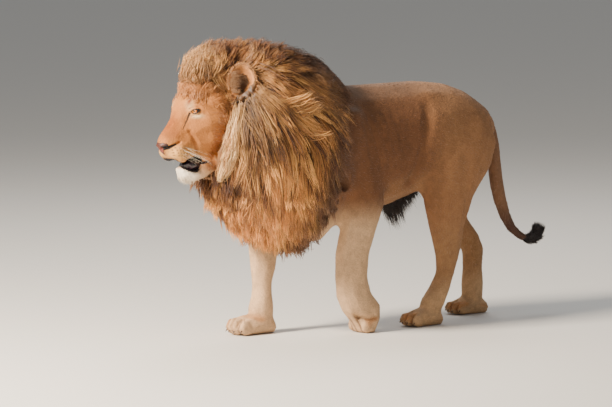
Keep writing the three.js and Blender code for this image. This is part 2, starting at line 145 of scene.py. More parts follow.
# --- Skin: one unbroken hide over head, body, legs, tail and ears. The flesh of the frame is joined
# into one body, smoothed like muscle under skin, and drawn in by the depth of the coat.
NOT_FLESH = ("mane", "eye", "nose", "belly_fringe", "tail_tuft")
FLESH = [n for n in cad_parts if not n.startswith(NOT_FLESH)]
SWELL = 0.0008                 # closes the thin seams between the flesh nodes
GRAIN = 0.0085                 # spacing of the hide's mesh on the body
HEAD_BACK = -0.94              # the mesh is twice as fine ahead of this place, and again on the face
FACE_BACK = -1.09
LIGHT_ROUNDS, HEAVY_ROUNDS = 10, 60          # smoothing of the head and feet, and of the body
TRUNK_ROUNDS, TRUNK_PULL = 110, -0.3         # and, with less given back, of the shoulders and trunk
EDGE_SUNK = 0.034              # how deep the hide runs under the mane at the front of its rear band
BAND_FROM = -0.62              # behind this the short rear band of the mane is part of the hide


def show(name, mesh, *materials):
    """Puts a mesh into the scene as a piece with its materials."""
    piece = bpy.data.objects.new(name, mesh)
    bpy.context.scene.collection.objects.link(piece)
    for material in materials:
        mesh.materials.append(material)
    return piece


def places(mesh, kind="co"):
    """Where each point of a mesh is, as an array."""
    flat = np.empty(len(mesh.vertices) * 3, dtype=np.float32)
    mesh.vertices.foreach_get(kind, flat)
    return flat.reshape(-1, 3).astype(np.float64)


def ways(mesh):
    """The outward direction at each point of a mesh."""
    return places(mesh, "normal")


def put_back(mesh, points):
    """Moves the points of a mesh to new places."""
    mesh.vertices.foreach_set("co", points.astype(np.float32).ravel())
    mesh.update()


def cut_off(bm, place, **side):
    """Cuts away what lies ahead of a place or behind it, and closes the cut."""
    cut = bmesh.ops.bisect_plane(bm, geom=bm.verts[:] + bm.edges[:] + bm.faces[:], plane_no=(1, 0, 0),
                                 plane_co=(place + AHEAD, 0, 0), **side)
    bmesh.ops.holes_fill(bm, edges=[e for e in cut["geom_cut"] if isinstance(e, bmesh.types.BMEdge)])


def joined_copy(names, swell, behind=None):
    """One mesh of merged copies of the named nodes, each swelled a little, cut off ahead of a place."""
    whole = bmesh.new()
    for name in names:
        bm = bmesh.new()
        bm.from_mesh(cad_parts[name].data)
        bmesh.ops.remove_doubles(bm, verts=bm.verts, dist=2e-5)
        if behind is not None:
            cut_off(bm, behind, clear_inner=True)
        bm.normal_update()
        for v in bm.verts:
            v.co += v.normal * swell
        part = made_mesh(bm, name)
        whole.from_mesh(part)
        bpy.data.meshes.remove(part)
    return made_mesh(whole, "joined copy")


def one_body(mesh, grain):
    """The outside of everything in the mesh, as one closed surface of even small faces."""
    piece = bpy.data.objects.new("one body", mesh)
    bpy.context.scene.collection.objects.link(piece)
    remesh = piece.modifiers.new("even grain", "REMESH")
    remesh.mode = "VOXEL"
    remesh.voxel_size = grain
    seen = piece.evaluated_get(bpy.context.evaluated_depsgraph_get())
    made = bpy.data.meshes.new_from_object(seen)
    bpy.data.objects.remove(piece)
    bpy.data.meshes.remove(mesh)
    return made


def relaxed(mesh, points, rounds, push=0.5, pull=-0.52):
    """Evens out bumps smaller than a few faces, and gives back the size that it costs."""
    ends = np.empty(len(mesh.edges) * 2, dtype=np.int32)
    mesh.edges.foreach_get("vertices", ends)
    a, b = ends.reshape(-1, 2).T
    many = len(points)
    count = np.bincount(a, minlength=many) + np.bincount(b, minlength=many)
    count = np.maximum(count, 1)[:, None]
    for _ in range(rounds):
        for share in (push, pull):
            total = np.stack([np.bincount(a, points[b, k], many) + np.bincount(b, points[a, k], many)
                              for k in range(3)], axis=1)
            points = points + share * (total / count - points)
    return points


def ramp(value, start, end):
    """0 before start, 1 past end, and a smooth step between."""
    t = np.clip((value - start) / (end - start), 0, 1)
    return t * t * (3 - 2 * t)


def finer(mesh, chosen):
    """Cuts each face whose middle is chosen into four."""
    bm = bmesh.new()
    bm.from_mesh(mesh)
    edges = set()
    for face in bm.faces:
        if chosen(face.calc_center_median()):
            edges.update(face.edges)
    bmesh.ops.subdivide_edges(bm, edges=list(edges), cuts=1, use_grid_fill=True, smooth=0)
    bmesh.ops.triangulate(bm, faces=[f for f in bm.faces if len(f.verts) > 4])
    bm.to_mesh(mesh)
    bm.free()


COVERED = ["nose", "eye_left", "eye_right"]    # the hide runs on under these
MANE = [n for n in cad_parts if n.startswith("mane")]
flesh = bmesh.new()
flesh.from_mesh(joined_copy(FLESH + COVERED, SWELL))
flesh.from_mesh(joined_copy([n for n in MANE if "cheek" not in n], SWELL, BAND_FROM))
for side in (-1, 1):           # the fold of the cheek that closes the corner of the mouth
    place = Matrix.Translation((-1.098 + AHEAD, 0.052 * side, 0.716))
    place = place @ Matrix.Diagonal((0.034, 0.018, 0.034, 1))
    bmesh.ops.create_icosphere(flesh, subdivisions=3, radius=1, matrix=place)
hide = one_body(made_mesh(flesh, "flesh"), GRAIN)
shift = np.array([AHEAD, 0, 0])
points = places(hide) - shift
light = relaxed(hide, points, LIGHT_ROUNDS)
heavy = relaxed(hide, light, HEAVY_ROUNDS)
# The sharp brows of the solid head are eased first
brow = np.exp(-0.5 * (((np.abs(light) - (1.166, 0.052, 0.958)) / (0.020, 0.026, 0.030)) ** 2).sum(1))
flat = relaxed(hide, light, 14, 0.5, 0)
light = light + np.clip(1.6 * brow, 0, 1)[:, None] * (flat - light)
# The body takes the heavy smoothing, the head and the feet only a share of it
x, _, z = points.T
body = 1 - 0.8 * ramp(-x, 0.90, 1.02) * ramp(z, 0.55, 0.62)
body *= 1 - 0.75 * ramp(0.16 - z, 0, 0.05)
points = light + body[:, None] * (heavy - light)
shoulder = ramp(x, BAND_FROM - 0.03, BAND_FROM) * ramp(-x, 0.28, 0.38) * ramp(z, 0.55, 0.65)
trunk = 0.85 * ramp(x, -0.45, -0.35) * ramp(0.38 - x, 0, 0.08) * ramp(z, 0.46, 0.58)
shoulder = np.maximum(shoulder, trunk)
points = points + shoulder[:, None] * (relaxed(hide, points, TRUNK_ROUNDS, 0.5, TRUNK_PULL) - points)
# The step between the crest and the sides behind the mane is filled to an even slope
hollow = np.exp(-0.5 * (((np.abs(points) - (0.500, 0.155, 0.985)) / (0.060, 0.065, 0.045)) ** 2).sum(1))
points = points + np.clip(1.5 * hollow, 0, 1)[:, None] * (relaxed(hide, points, 60, 0.5, 0) - points)
put_back(hide, points + shift)
# A finer mesh on the head, finer still on the face, and on the feet
finer(hide, lambda c: c.x - AHEAD < HEAD_BACK and c.z > 0.6)
finer(hide, lambda c: c.x - AHEAD < FACE_BACK and c.z > 0.62)
finer(hide, lambda c: c.z < 0.09)
points = places(hide) - shift
x, _, z = points.T
face = (ramp(-x, 0.93, 0.97) * ramp(z, 0.6, 0.62))[:, None]
points = points + face * (relaxed(hide, points, 8) - points)
put_back(hide, points + shift)
hide.shade_smooth()
normals = ways(hide)


def coat_depth(p):
    """How far the hide lies under the tips of the short coat: least on the face and the feet."""
    x, _, z = p.T
    face = ramp(-x, 1.00, 1.10) * ramp(z, 0.55, 0.62)
    feet = ramp(0.20 - z, 0, 0.08)
    tail = ramp(x, 0.36, 0.42)
    return 0.006 - 0.004 * face - 0.003 * feet * (1 - face) - 0.002 * tail


edge = ramp(-x, -BAND_FROM - 0.05, -BAND_FROM) * ramp(x, -0.75, -0.70) * ramp(z, 0.50, 0.55)
points -= normals * (coat_depth(points) + EDGE_SUNK * edge)[:, None]


def unit(v):
    """Directions brought to a length of 1."""
    return v / np.maximum(np.linalg.norm(v, axis=-1, keepdims=True), 1e-9)


def near_side(p):
    """The places with the right half folded over onto positive y."""
    return np.stack([p[:, 0], np.abs(p[:, 1]), p[:, 2]], 1)


def spread(p, centre, size):
    """A soft spot round a centre on both sides of the head or body, 1 in its middle."""
    d = (near_side(p) - centre) / size
    return np.exp(-0.5 * (d * d).sum(1))


def off_line(p, path):
    """Distance from a path on both sides, and how far along the path the nearest place is, 0 to 1."""
    q, path = near_side(p), np.array(path)
    best, along = np.full(len(q), 9.0), np.zeros(len(q))
    for k in range(len(path) - 1):
        a, ab = path[k], path[k + 1] - path[k]
        t = np.clip(((q - a) @ ab) / (ab @ ab), 0, 1)
        gap = np.linalg.norm(q - a - t[:, None] * ab, axis=1)
        closer = gap < best
        best, along = np.where(closer, gap, best), np.where(closer, (k + t) / (len(path) - 1), along)
    return best, along


# The eye's own directions: from the inner corner to the outer one, up, and out of the head
EYE_INNER = np.array([-1.173, 0.050, 0.919])
EYE_OUTER = np.array([-1.151, 0.085, 0.929])
EYE_RADIUS = 0.0195
SLIT_HALF = 0.0178             # half the length of the opening between the lids
SLIT_UP, SLIT_DOWN = 0.0050, 0.0080
eye_mid = (EYE_INNER + EYE_OUTER) / 2
eye_across = unit(EYE_OUTER - EYE_INNER)
eye_out = np.array([-0.75, 0.62, 0.12])
eye_out = unit(eye_out - (eye_out @ eye_across) * eye_across)
eye_up = np.cross(eye_across, eye_out)


def slit_edge(a):
    """How high and how low the lids' edges stand at a place along the slit."""
    s = np.clip(1 - (a / SLIT_HALF) ** 2, 0, 1)
    return SLIT_UP * s ** 0.6, SLIT_DOWN * s ** 0.8


def pushed(p, spots):
    """Moves soft spots of the hide (middle, size, way) one after another, mirrored on the other side."""
    for centre, size, way in spots:
        w = spread(p, np.array(centre), np.array(size))[:, None]
        side = np.where(p[:, 1] < 0, -1.0, 1.0)
        p = p + w * np.stack([way[0] + 0 * side, way[1] * side, way[2] + 0 * side], 1)
    return p


def groove(p, n, path, width, depth):
    """Sinks a rounded groove into the hide along a path on both sides."""
    gap, _ = off_line(p, path)
    return p - n * (depth * np.exp(-(gap / width) ** 2))[:, None]


def tree_of_places(p):
    """A search tree that finds the nearest of the places."""
    tree = kdtree.KDTree(len(p))
    for k, at in enumerate(p):
        tree.insert(at, k)
    tree.balance()
    return tree


def on_hide(path, many=16):
    """The path with more points, each drawn onto the hide."""
    path = np.array(path)
    t = np.linspace(0, len(path) - 1, many)
    k = np.minimum(t.astype(int), len(path) - 2)
    fine = path[k] + (t - k)[:, None] * (path[k + 1] - path[k])
    return [np.array(hide_tree.find(p)[0]) for p in fine]


hide_tree = tree_of_places(near_side(points))

# Shoulder, elbow, flank, haunch and the faint lines of the ribs
RIB_PITCH = 0.046
for path, width, depth in (
        ([(-0.494, 0.170, 0.944), (-0.489, 0.200, 0.856), (-0.474, 0.205, 0.744), (-0.453, 0.190, 0.644),
          (-0.437, 0.170, 0.560)], 0.030, 0.014),
        ([(-0.040, 0.160, 0.900), (-0.068, 0.185, 0.781), (-0.094, 0.175, 0.682), (-0.131, 0.150, 0.603)],
         0.026, 0.011),
        ([(0.120, 0.150, 0.720), (0.150, 0.165, 0.600), (0.150, 0.150, 0.500)], 0.020, 0.006),
        ([(-0.560, 0.205, 0.640), (-0.500, 0.200, 0.560), (-0.450, 0.180, 0.500)], 0.018, 0.006)):
    points = groove(points, normals, path, width, depth)
points = pushed(points, (
    ((-0.540, 0.215, 0.730), (0.045, 0.05, 0.090), (0.0, 0.010, 0.0)),          # shoulder
    ((-0.150, 0.200, 0.730), (0.050, 0.06, 0.070), (0.0, -0.012, 0.0)),         # flank
    ((0.060, 0.170, 0.790), (0.080, 0.05, 0.110), (0.0, 0.008, 0.0)),           # haunch
    ((0.010, 0.110, 0.945), (0.040, 0.03, 0.020), (0.0, 0.004, 0.005)),         # point of the hip
    ((-0.362, 0.150, 0.545), (0.022, 0.03, 0.026), (0.014, 0.002, -0.002))))    # elbow
x, _, z = points.T
ribs = np.sin(2 * math.pi * (x + 0.25 * z) / RIB_PITCH) * ramp(-x, 0.16, 0.26) * ramp(x, -0.46, -0.38)
ribs *= ramp(z, 0.62, 0.70) * ramp(0.92 - z, 0, 0.08)
points += normals * (0.0016 * ribs)[:, None]
# The fold where the lifted left forepaw hangs from its wrist, and the swell of the wrist over it
WRIST_FOLD = on_hide([(-0.440, 0.172, 0.066), (-0.404, 0.174, 0.060),
                      (-0.365, 0.172, 0.060), (-0.330, 0.160, 0.064)])
points = groove(points, normals, WRIST_FOLD, 0.009, 0.011)
points = pushed(points, [((-0.440, 0.160, 0.125), (0.040, 0.03, 0.034), (-0.006, 0.004, -0.006))])

# Brow, bridge of the nose, whisker pads, cheekbones and the folds behind the pads
points = pushed(points, (
    ((-1.172, 0.052, 0.957), (0.020, 0.018, 0.010), (-0.004, 0.003, 0.001)),    # brow
    ((-1.120, 0.098, 0.890), (0.040, 0.020, 0.022), (0.0, 0.006, 0.0)),         # cheekbone
    ((-1.185, 0.052, 0.880), (0.016, 0.012, 0.022), (0.004, -0.004, 0.0)),      # hollow beside the bridge
    ((-1.222, 0.050, 0.768), (0.026, 0.012, 0.020), (-0.002, 0.006, -0.001)),   # whisker pad
    ((-1.150, 0.000, 1.000), (0.030, 0.008, 0.040), (0.003, 0.0, -0.003)),      # middle of the forehead
    ((-1.196, 0.048, 0.738), (0.026, 0.022, 0.016), (0.0, 0.001, -0.020)),      # upper lip, front to rear
    ((-1.150, 0.062, 0.742), (0.028, 0.022, 0.014), (0.0, 0.003, -0.028)),
    ((-1.122, 0.064, 0.742), (0.022, 0.022, 0.014), (0.0, 0.002, -0.014))))
CREASE = on_hide([(-1.190, 0.066, 0.840), (-1.179, 0.072, 0.824), (-1.166, 0.074, 0.802),
                  (-1.152, 0.070, 0.775), (-1.142, 0.066, 0.752)])
points = groove(points, normals, CREASE, 0.009, 0.008)
for path, width, depth in (
        # the cheek, the tear line and the parting of the upper lip
        ([(-1.120, 0.100, 0.835), (-1.128, 0.096, 0.812), (-1.140, 0.090, 0.800)], 0.008, 0.003),
        ([(-1.180, 0.046, 0.915), (-1.196, 0.046, 0.890), (-1.210, 0.044, 0.860)], 0.005, 0.002),
        ([(-1.285, 0.0, 0.760), (-1.270, 0.0, 0.745), (-1.255, 0.0, 0.735), (-1.235, 0.0, 0.732)],
         0.004, 0.005)):
    points = groove(points, normals, path, width, depth)
# Nostrils: a hole that opens to the front and a slit that curls back and up
NOSTRIL = [(-1.288, 0.014, 0.781), (-1.279, 0.026, 0.782), (-1.262, 0.036, 0.788), (-1.242, 0.044, 0.797),
           (-1.226, 0.050, 0.806)]
points = groove(points, normals, NOSTRIL, 0.0050, 0.009)

EAR_AT = np.array([-0.984, 0.130, 1.035])
EAR_OUT = np.array([-math.cos(math.radians(52)), math.sin(math.radians(52)), 0])
EAR_BACK = np.array([EAR_OUT[1], -EAR_OUT[0], 0])    # from the front edge of the ear to its rear edge


def ear_place(p):
    """Where a place lies on an ear: back, up and out of the cup, and its share of the ear's radius."""
    d = near_side(p) - EAR_AT
    back, up, out = d @ EAR_BACK, d[:, 2], d @ EAR_OUT
    return back, up, out, np.hypot(back / 0.054, up / 0.068)


# Ears: the cup is hollowed deeper, its rim thinned and rolled in, with a small pocket low at its rear
back, high, out, share = ear_place(points)
of_ear = (share < 1.15) & (np.abs(out) < 0.045) & (high > -0.07)
dent = np.where(of_ear & (out > -0.020), 0.013 * np.clip(1 - (share / 0.80) ** 2, 0, 1) ** 0.7, 0)
dent += np.where(of_ear, 0.006 * np.exp(-((back + 0.020) / 0.014) ** 2 - ((high + 0.020) / 0.024) ** 2), 0)
wave = np.sin(7 * np.arctan2(high, back))
rim_bend = np.where(of_ear, 0.004 * np.exp(-((share - 0.95) / 0.12) ** 2) * wave, 0)
pocket = np.where(of_ear, np.exp(-((back - 0.040) / 0.010) ** 2 - ((high + 0.022) / 0.013) ** 2)
                  + 0.8 * np.exp(-((back - 0.030) / 0.010) ** 2 - ((high + 0.046) / 0.012) ** 2), 0)
grow = np.where(of_ear, 0.13 * ramp(share, 0.3, 0.9) * ramp(high, -0.045, -0.005), 0)
tuck = np.where(of_ear, 0.016 * ramp(-high, 0.035, 0.055), 0)
move = (-dent - tuck + 0.5 * rim_bend + 0.006 * pocket)[:, None] * EAR_OUT
move += (0.006 * pocket + grow * back)[:, None] * EAR_BACK + (grow * high)[:, None] * np.array([0, 0, 1])
move[:, 1] *= np.where(points[:, 1] < 0, -1, 1)
points = points + move

# Toes: grooves between them run back over the front of each paw
RIGHT_FORE, LEFT_HIND, RIGHT_HIND, LEFT_FORE = -0.856, -0.134, 0.280, -0.405      # tips of the paws, x
PAWS = [(RIGHT_FORE, 0.1175, 0.126, 0.075), (LEFT_HIND, -0.100, 0.116, 0.065),
        (RIGHT_HIND, 0.100, 0.116, 0.065),
        (LEFT_FORE, -0.1175, 0.114, 0.070)]  # tip x, middle y, width and how far back the toes reach
TOE_PITCH = 0.25               # share of the width of a paw
for tip, middle, width, long in PAWS:
    if tip != LEFT_FORE:       # the three that stand; this one hangs from its wrist
        bulge = 0.022 if tip == RIGHT_FORE else 0.011
        over_toes = (tip + 0.040, abs(middle), 0.062)
        points = pushed(points, [(over_toes, (0.034, 0.045, 0.030), (-0.003, 0.0, bulge))])
put_back(hide, points + shift)
normals = ways(hide)
for tip, middle, width, long in PAWS:
    dent = np.zeros(len(points))
    for place in (-1, 0, 1):
        off = points[:, 1] - middle - place * TOE_PITCH * width
        dent += np.exp(-(off / 0.0055) ** 2)
    dent *= ramp(points[:, 0], tip - 0.04, tip - 0.02) * ramp(tip + long - points[:, 0], 0, 0.03)
    dent *= ramp(0.110 - points[:, 2], 0, 0.02) * ramp(normals[:, 2] - 0.7 * normals[:, 0], 0.1, 0.6)
    points = points - normals * (0.011 * dent)[:, None]

# Lids: the hide lies on the eyeball round the slit and dips behind it inside the slit
local = near_side(points) - eye_mid
a, b, c = local @ eye_across, local @ eye_up, local @ eye_out
reach = np.hypot(a, b)


def bowed(a, b):
    """The terms of a gently bowed sheet."""
    return np.stack([np.ones_like(a), a, b, a * a, a * b, b * b], 1)


ring = (reach > 0.026) & (reach < 0.042) & (np.abs(c) < 0.035)
sheet = np.linalg.lstsq(bowed(a[ring], b[ring]), c[ring], rcond=None)[0]
smooth = bowed(a, b) @ sheet
EYE_PROUD = 0.0030             # how far the eyeball stands out of the sheet of the cheek and brow
level = sheet[0] + EYE_PROUD - EYE_RADIUS
eye_centre = eye_mid + level * eye_out
ball = level + np.sqrt(np.maximum(EYE_RADIUS ** 2 - reach ** 2, 0))
top, bottom = slit_edge(a)
inside = (b < top) & (b > -bottom) & (np.abs(a) < SLIT_HALF)
near_eye = (reach < 0.040) & (np.abs(c) < 0.045)
lid = ball + 0.0022 + 0.0012 * ramp(b, 0.002, 0.010)
soft = 0.0025
over = soft * np.logaddexp(smooth / soft, lid / soft)
blend = ramp(reach, 0.024, 0.038)
made = np.where(inside, ball - 0.005, over + blend * (c - over))
# A fold over the upper lid, a bag under the lower one and a hollow at the inner corner
made = made - 0.0026 * np.exp(-((b - 0.0135) / 0.0028) ** 2) * ramp(0.026 - np.abs(a), 0, 0.01)
made = made - 0.0020 * np.exp(-((b + 0.0170) / 0.0035) ** 2) * ramp(0.026 - np.abs(a), 0, 0.01)
made = made - 0.0030 * np.exp(-((a + 0.024) / 0.006) ** 2 - ((b + 0.004) / 0.006) ** 2)
move = np.where(near_eye, made - c, 0)[:, None] * eye_out
move[:, 1] *= np.where(points[:, 1] < 0, -1, 1)
points = points + move
put_back(hide, points + shift)
normals = ways(hide)


def mixed(base, code, share):
    """The base colours with a share of another colour, from 0 to 1, in their place."""
    return base + (np.array(linear(code)) - base) * np.clip(share, 0, 1)[:, None]


LID_STEPS = 48                 # points round the opening, from the outer corner over the top
lid_loop = []
for k in range(LID_STEPS + 1):
    turn = 2 * math.pi * k / LID_STEPS
    a = SLIT_HALF * math.cos(turn)
    top, bottom = slit_edge(np.array(a))
    b = top if math.sin(turn) > 0 else -bottom
    c = level + math.sqrt(max(EYE_RADIUS ** 2 - a * a - b * b, 1e-5)) + 0.0006
    lid_loop.append(eye_mid + a * eye_across + b * eye_up + c * eye_out)
hide_tree = tree_of_places(near_side(points))
inner_corner = lid_loop[LID_STEPS // 2]
TEAR = on_hide([inner_corner, (-1.190, 0.050, 0.897), (-1.203, 0.049, 0.876), (-1.210, 0.047, 0.855)])
SPOTS = [(-1.262 + 0.0125 * j + 0.003 * i, 0.786 - 0.0105 * i - 0.0012 * j)
         for i in range(4) for j in range(7)]    # x and z of the dark whisker roots, four rows of seven


def spotted(c, p, where, spots):
    """Mixes in soft spots of colour (colour, share, middle, size) one after another."""
    for code, share, centre, size in spots:
        c = mixed(c, code, share * where * spread(p, centre, size))
    return c


def blended(c, shares):
    """Mixes in other colours (colour, share at each place) one after another."""
    for code, share in shares:
        c = mixed(c, code, share)
    return c


def markings(p, n):
    """The colour of hide and coat at each place: tan body, pale legs, face marks and dark tail, with painted
    light and shade in places.
    """
    x, y, z = p.T
    up = n[:, 2]
    side = np.abs(y)
    noise = np.sin(31 * x + 17 * z + 5 * np.sin(13 * y)) * np.sin(23 * z - 11 * x + 4 * np.sin(19 * y))
    # The tan body is kept darker in part as painted shade on the flank
    c = np.tile(np.array(linear("#714a2e")), (len(p), 1))
    band = ramp(x, -0.66, -0.62) * ramp(-x, 0.40, 0.52) * ramp(z, 0.55, 0.70)
    fore = ramp(0.56 - z, 0, 0.15) * ramp(-x, 0.25, 0.33)
    hind = ramp(0.50 - z, 0, 0.25) * ramp(x, -0.2, -0.1)
    hind_foot = ramp(0.22 - z, 0, 0.12) * ramp(x, -0.2, -0.1) * (1 - ramp(x, 0.47, 0.5))
    dusty = ramp(0.11 - z, 0, 0.05) * ramp(noise, 0.1, 0.6) * ramp(up, -0.2, 0.4)
    c = blended(c, (
        ("#6f5138", 0.8 * ramp(up, 0.3, 0.95) * ramp(z, 0.75, 0.9) * ramp(x, -0.6, -0.4)),    # back
        ("#96704c", 0.7 * ramp(-up, 0.2, 0.8) * ramp(x, -0.5, -0.3)),                         # belly
        ("#9c704a", 0.8 * ramp(x, -0.12, 0.10)),                                              # hindquarters, lighter as painted sunlight on thigh and rump
        ("#6d5040", 0.8 * band),
        ("#c8a47e", fore),
        ("#97724e", 0.7 * hind),
        ("#bd9870", 0.85 * hind_foot),
        ("#b5763f", 0.6 * dusty),
        # painted shade in the fold of the wrist
        ("#6b4a32", 0.7 * ramp(0.010 - off_line(p, WRIST_FOLD)[0], 0, 0.010))))
    tail = ramp(x, 0.355, 0.40) * ramp(0.80 - z, -0.05, 0.05) * ramp(0.058 - side, 0, 0.008)
    tail *= ramp(z, 0.2, 0.24)
    face = ramp(-x, 1.00, 1.06) * ramp(z, 0.62, 0.66)
    c = blended(c, (("#7a5a45", 0.8 * tail), ("#54392c", tail * ramp(0.5 - z, 0, 0.15)), ("#ad6e36", face)))
    c = spotted(c, p, face, (
        ("#874510", 0.9, (-1.245, 0.0, 0.870), (0.050, 0.026, 0.045)),          # bridge of the nose
        ("#824a22", 0.7, (-1.245, 0.036, 0.838), (0.018, 0.014, 0.014)),        # and its sides
        ("#b67a36", 0.8, (-1.150, 0.0, 1.01), (0.05, 0.04, 0.05))))             # forehead
    # Painted shade in the grooves between the toes
    for tip, middle, width, long in PAWS:
        ahead = ramp(x, tip - 0.04, tip - 0.02) * ramp(tip + 0.75 * long - x, 0, 0.02)
        ahead *= ramp(0.080 - z, 0, 0.02)
        for place in (-1, 0, 1):
            between = np.exp(-((y - middle - place * TOE_PITCH * width) / 0.0045) ** 2)
            c = mixed(c, "#5a3c28", 0.8 * between * ahead)
    # Painted shadow behind the base of each ear
    c = mixed(c, "#3a2415", 0.9 * spread(p, (-0.950, 0.165, 0.985), (0.026, 0.040, 0.040)))
    c = spotted(c, p, face, (
        ("#d39c58", 1.5, (-1.236, 0.042, 0.760), (0.036, 0.026, 0.020)),        # whisker pads
        ("#cf9f62", 0.8, (-1.176, 0.060, 0.758), (0.03, 0.03, 0.018)),          # upper lip behind them
        ("#eadcc4", 2.0, (-1.190, 0.020, 0.664), (0.042, 0.035, 0.024))))       # chin
    c = mixed(c, "#d9bd98", 0.8 * ramp(-x, 0.95, 1.0) * spread(p, (-1.06, 0.03, 0.655), (0.06, 0.05, 0.03)))
    c = spotted(c, p, face, (
        ("#e6c290", 0.9, (-1.164, 0.078, 0.905), (0.016, 0.014, 0.006)),        # under the eye
        ("#e7c795", 0.8, (-1.176, 0.050, 0.948), (0.010, 0.010, 0.016)),        # over it
        ("#7a4320", 1.2, (-1.180, 0.050, 0.962), (0.009, 0.007, 0.014))))       # spot on the brow
    # Painted shade in the folds behind the whisker pads
    c = mixed(c, "#6a3d20", 0.65 * face * ramp(0.012 - off_line(p, CREASE)[0], 0, 0.012))
    # The black tear line, lids, nostrils and lips, and the dark spots that the whiskers grow from
    gap, along = off_line(p, TEAR)
    c = mixed(c, "#0c0706", face * ramp(0.0058 - 0.0026 * along - gap, 0, 0.0018) * (1 - 0.2 * along))
    c = mixed(c, "#17100d", face * ramp(0.0050 - off_line(p, lid_loop)[0], 0, 0.0018))
    gap, along = off_line(p, NOSTRIL)
    c = mixed(c, "#100b0a", face * ramp(0.0125 - 0.0100 * along - gap, 0, 0.002))
    for sx, sz in SPOTS:
        spot = np.exp(-((x - sx) ** 2 + (z - sz) ** 2) / (2 * 0.0016 ** 2)) * ramp(side, 0.025, 0.035)
        c = mixed(c, "#3d2212", 0.95 * spot * face)
    lips = ramp(0.0035 - off_line(p, [(-1.258, 0.0, 0.738), (-1.240, 0.024, 0.729), (-1.215, 0.042, 0.727),
                                      (-1.190, 0.050, 0.730)])[0], 0, 0.002)
    c = mixed(c, "#1d1416", 0.9 * lips)
    # Painted shade on the jaw and palate inside the parted mouth
    inner = ramp(-x, 1.088, 1.105) * ramp(x, -1.25, -1.235) * ramp(z, 0.672, 0.680)
    inner *= ramp(0.752 - z, 0, 0.008)
    jaw_top = inner * ramp(up, 0.35, 0.65) * ramp(0.735 - z, 0, 0.01)
    palate = inner * ramp(-up, 0.45, 0.75) * ramp(z, 0.70, 0.71) * ramp(0.050 - side, 0, 0.008)
    c = mixed(c, "#1c1218", np.maximum(jaw_top, palate))
    gap, _ = off_line(p, [(-1.212, 0.010, 0.716), (-1.196, 0.030, 0.708), (-1.165, 0.046, 0.690),
                          (-1.142, 0.056, 0.692), (-1.132, 0.062, 0.704)])
    c = mixed(c, "#2a1820", 0.95 * ramp(0.0085 - gap, 0, 0.003))
    # Ears: sandy, with painted shade in the cup, near black deep in it, and a dark bar across the back
    back, high, out, share = ear_place(p)
    facing = n[:, 0] * EAR_OUT[0] + n[:, 1] * EAR_OUT[1] * np.where(y < 0, -1, 1)
    ear = ramp(1.25 - share, 0, 0.1) * (out > -0.05) * (out < 0.06) * ramp(high, -0.075, -0.05)
    cup = ear * ramp(0.86 - share, 0, 0.12) * ramp(facing, -0.1, 0.3)
    return blended(c, (
        ("#bd8450", ear),
        ("#a8703f", 0.9 * cup),
        ("#20130d", cup * ramp(0.040 - np.hypot(back + 0.018, 0.7 * (high + 0.022)), 0, 0.018)),
        ("#2b1f1a", 0.8 * ear * ramp(-facing, 0.3, 0.7) * ramp(0.05 - np.abs(high), 0, 0.02))))


def paint(mesh, colours):
    """Gives each point of a mesh its colour, which the materials read as "coat"."""
    layer = mesh.color_attributes.get("coat") or mesh.color_attributes.new("coat", "FLOAT_COLOR", "POINT")
    opaque = np.hstack([colours, np.ones((len(colours), 1))])
    layer.data.foreach_set("color", opaque.astype(np.float32).ravel())


skin = show("skin", hide)
paint(hide, markings(points, normals))

# Short fur close to the hide: matt, with a fine nap of hairs 4 mm apart, drawn coarser than real
# hair so that it shows, and a faint sheen from the hair tips.
short_fur = new_material("short lion fur, combed flat")
coat = add(short_fur, "ShaderNodeAttribute", attribute_name="coat")
where = add(short_fur, "ShaderNodeTexCoord")
combed_way = add(short_fur, "ShaderNodeMapping", [("Vector", where, "Object")], Scale=(0.35, 1, 0.6))
nap = add(short_fur, "ShaderNodeTexNoise", [("Vector", combed_way, "Vector")], Scale=320, Detail=4)
blotch = add(short_fur, "ShaderNodeTexNoise", [("Vector", where, "Object")], Scale=38, Detail=3)
shade = add(short_fur, "ShaderNodeMapRange", [("Value", blotch, "Fac")],
            From_Min=0.3, From_Max=0.7, To_Min=0.85, To_Max=1.12)
fleck = add(short_fur, "ShaderNodeMapRange", [("Value", nap, "Fac")],
            From_Min=0.3, From_Max=0.7, To_Min=0.85, To_Max=1.12)
both = add(short_fur, "ShaderNodeMath", [(0, shade, "Result"), (1, fleck, "Result")], operation="MULTIPLY")
tint = add(short_fur, "ShaderNodeVectorMath", [(0, coat, "Color"), ("Scale", both, "Value")],
           operation="SCALE")
bump = add(short_fur, "ShaderNodeBump", [("Height", nap, "Fac")], Strength=0.7, Distance=0.004)
shader = add(short_fur, "ShaderNodeBsdfPrincipled",
             [("Base Color", tint, "Vector"), ("Normal", bump, "Normal")],
             Roughness=0.8, Sheen_Weight=0.03, Sheen_Roughness=0.5, Specular_IOR_Level=0.3)
add(short_fur, "ShaderNodeOutputMaterial", [("Surface", shader, "BSDF")])
hide.materials.append(short_fur)
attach(skin, "root")
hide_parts(*FLESH)

# --- Eyes: amber irises in dark balls under a clear wet cornea that bulges a little in front. The
# rim of each lid is a thin roll of black bare skin that closes on the ball.
PUPIL, IRIS, LIMBUS = 11.0, 31.0, 35.0      # degrees from the middle of the gaze


def mirrored(v, side):
    """A place or direction of the right half on the chosen side of the animal."""
    return np.array([v[0], v[1] * side, v[2]])


# Tear-wet cornea: a thin clear coat that gives the iris its small sharp glint
eye_wet = new_material("eye, wet cornea over amber iris")
coat = add(eye_wet, "ShaderNodeAttribute", attribute_name="coat")
shader = add(eye_wet, "ShaderNodeBsdfPrincipled", [("Base Color", coat, "Color")],
             Roughness=0.25, Coat_Weight=1.0, Coat_Roughness=0.03, Coat_IOR=1.38)
add(eye_wet, "ShaderNodeOutputMaterial", [("Surface", shader, "BSDF")])

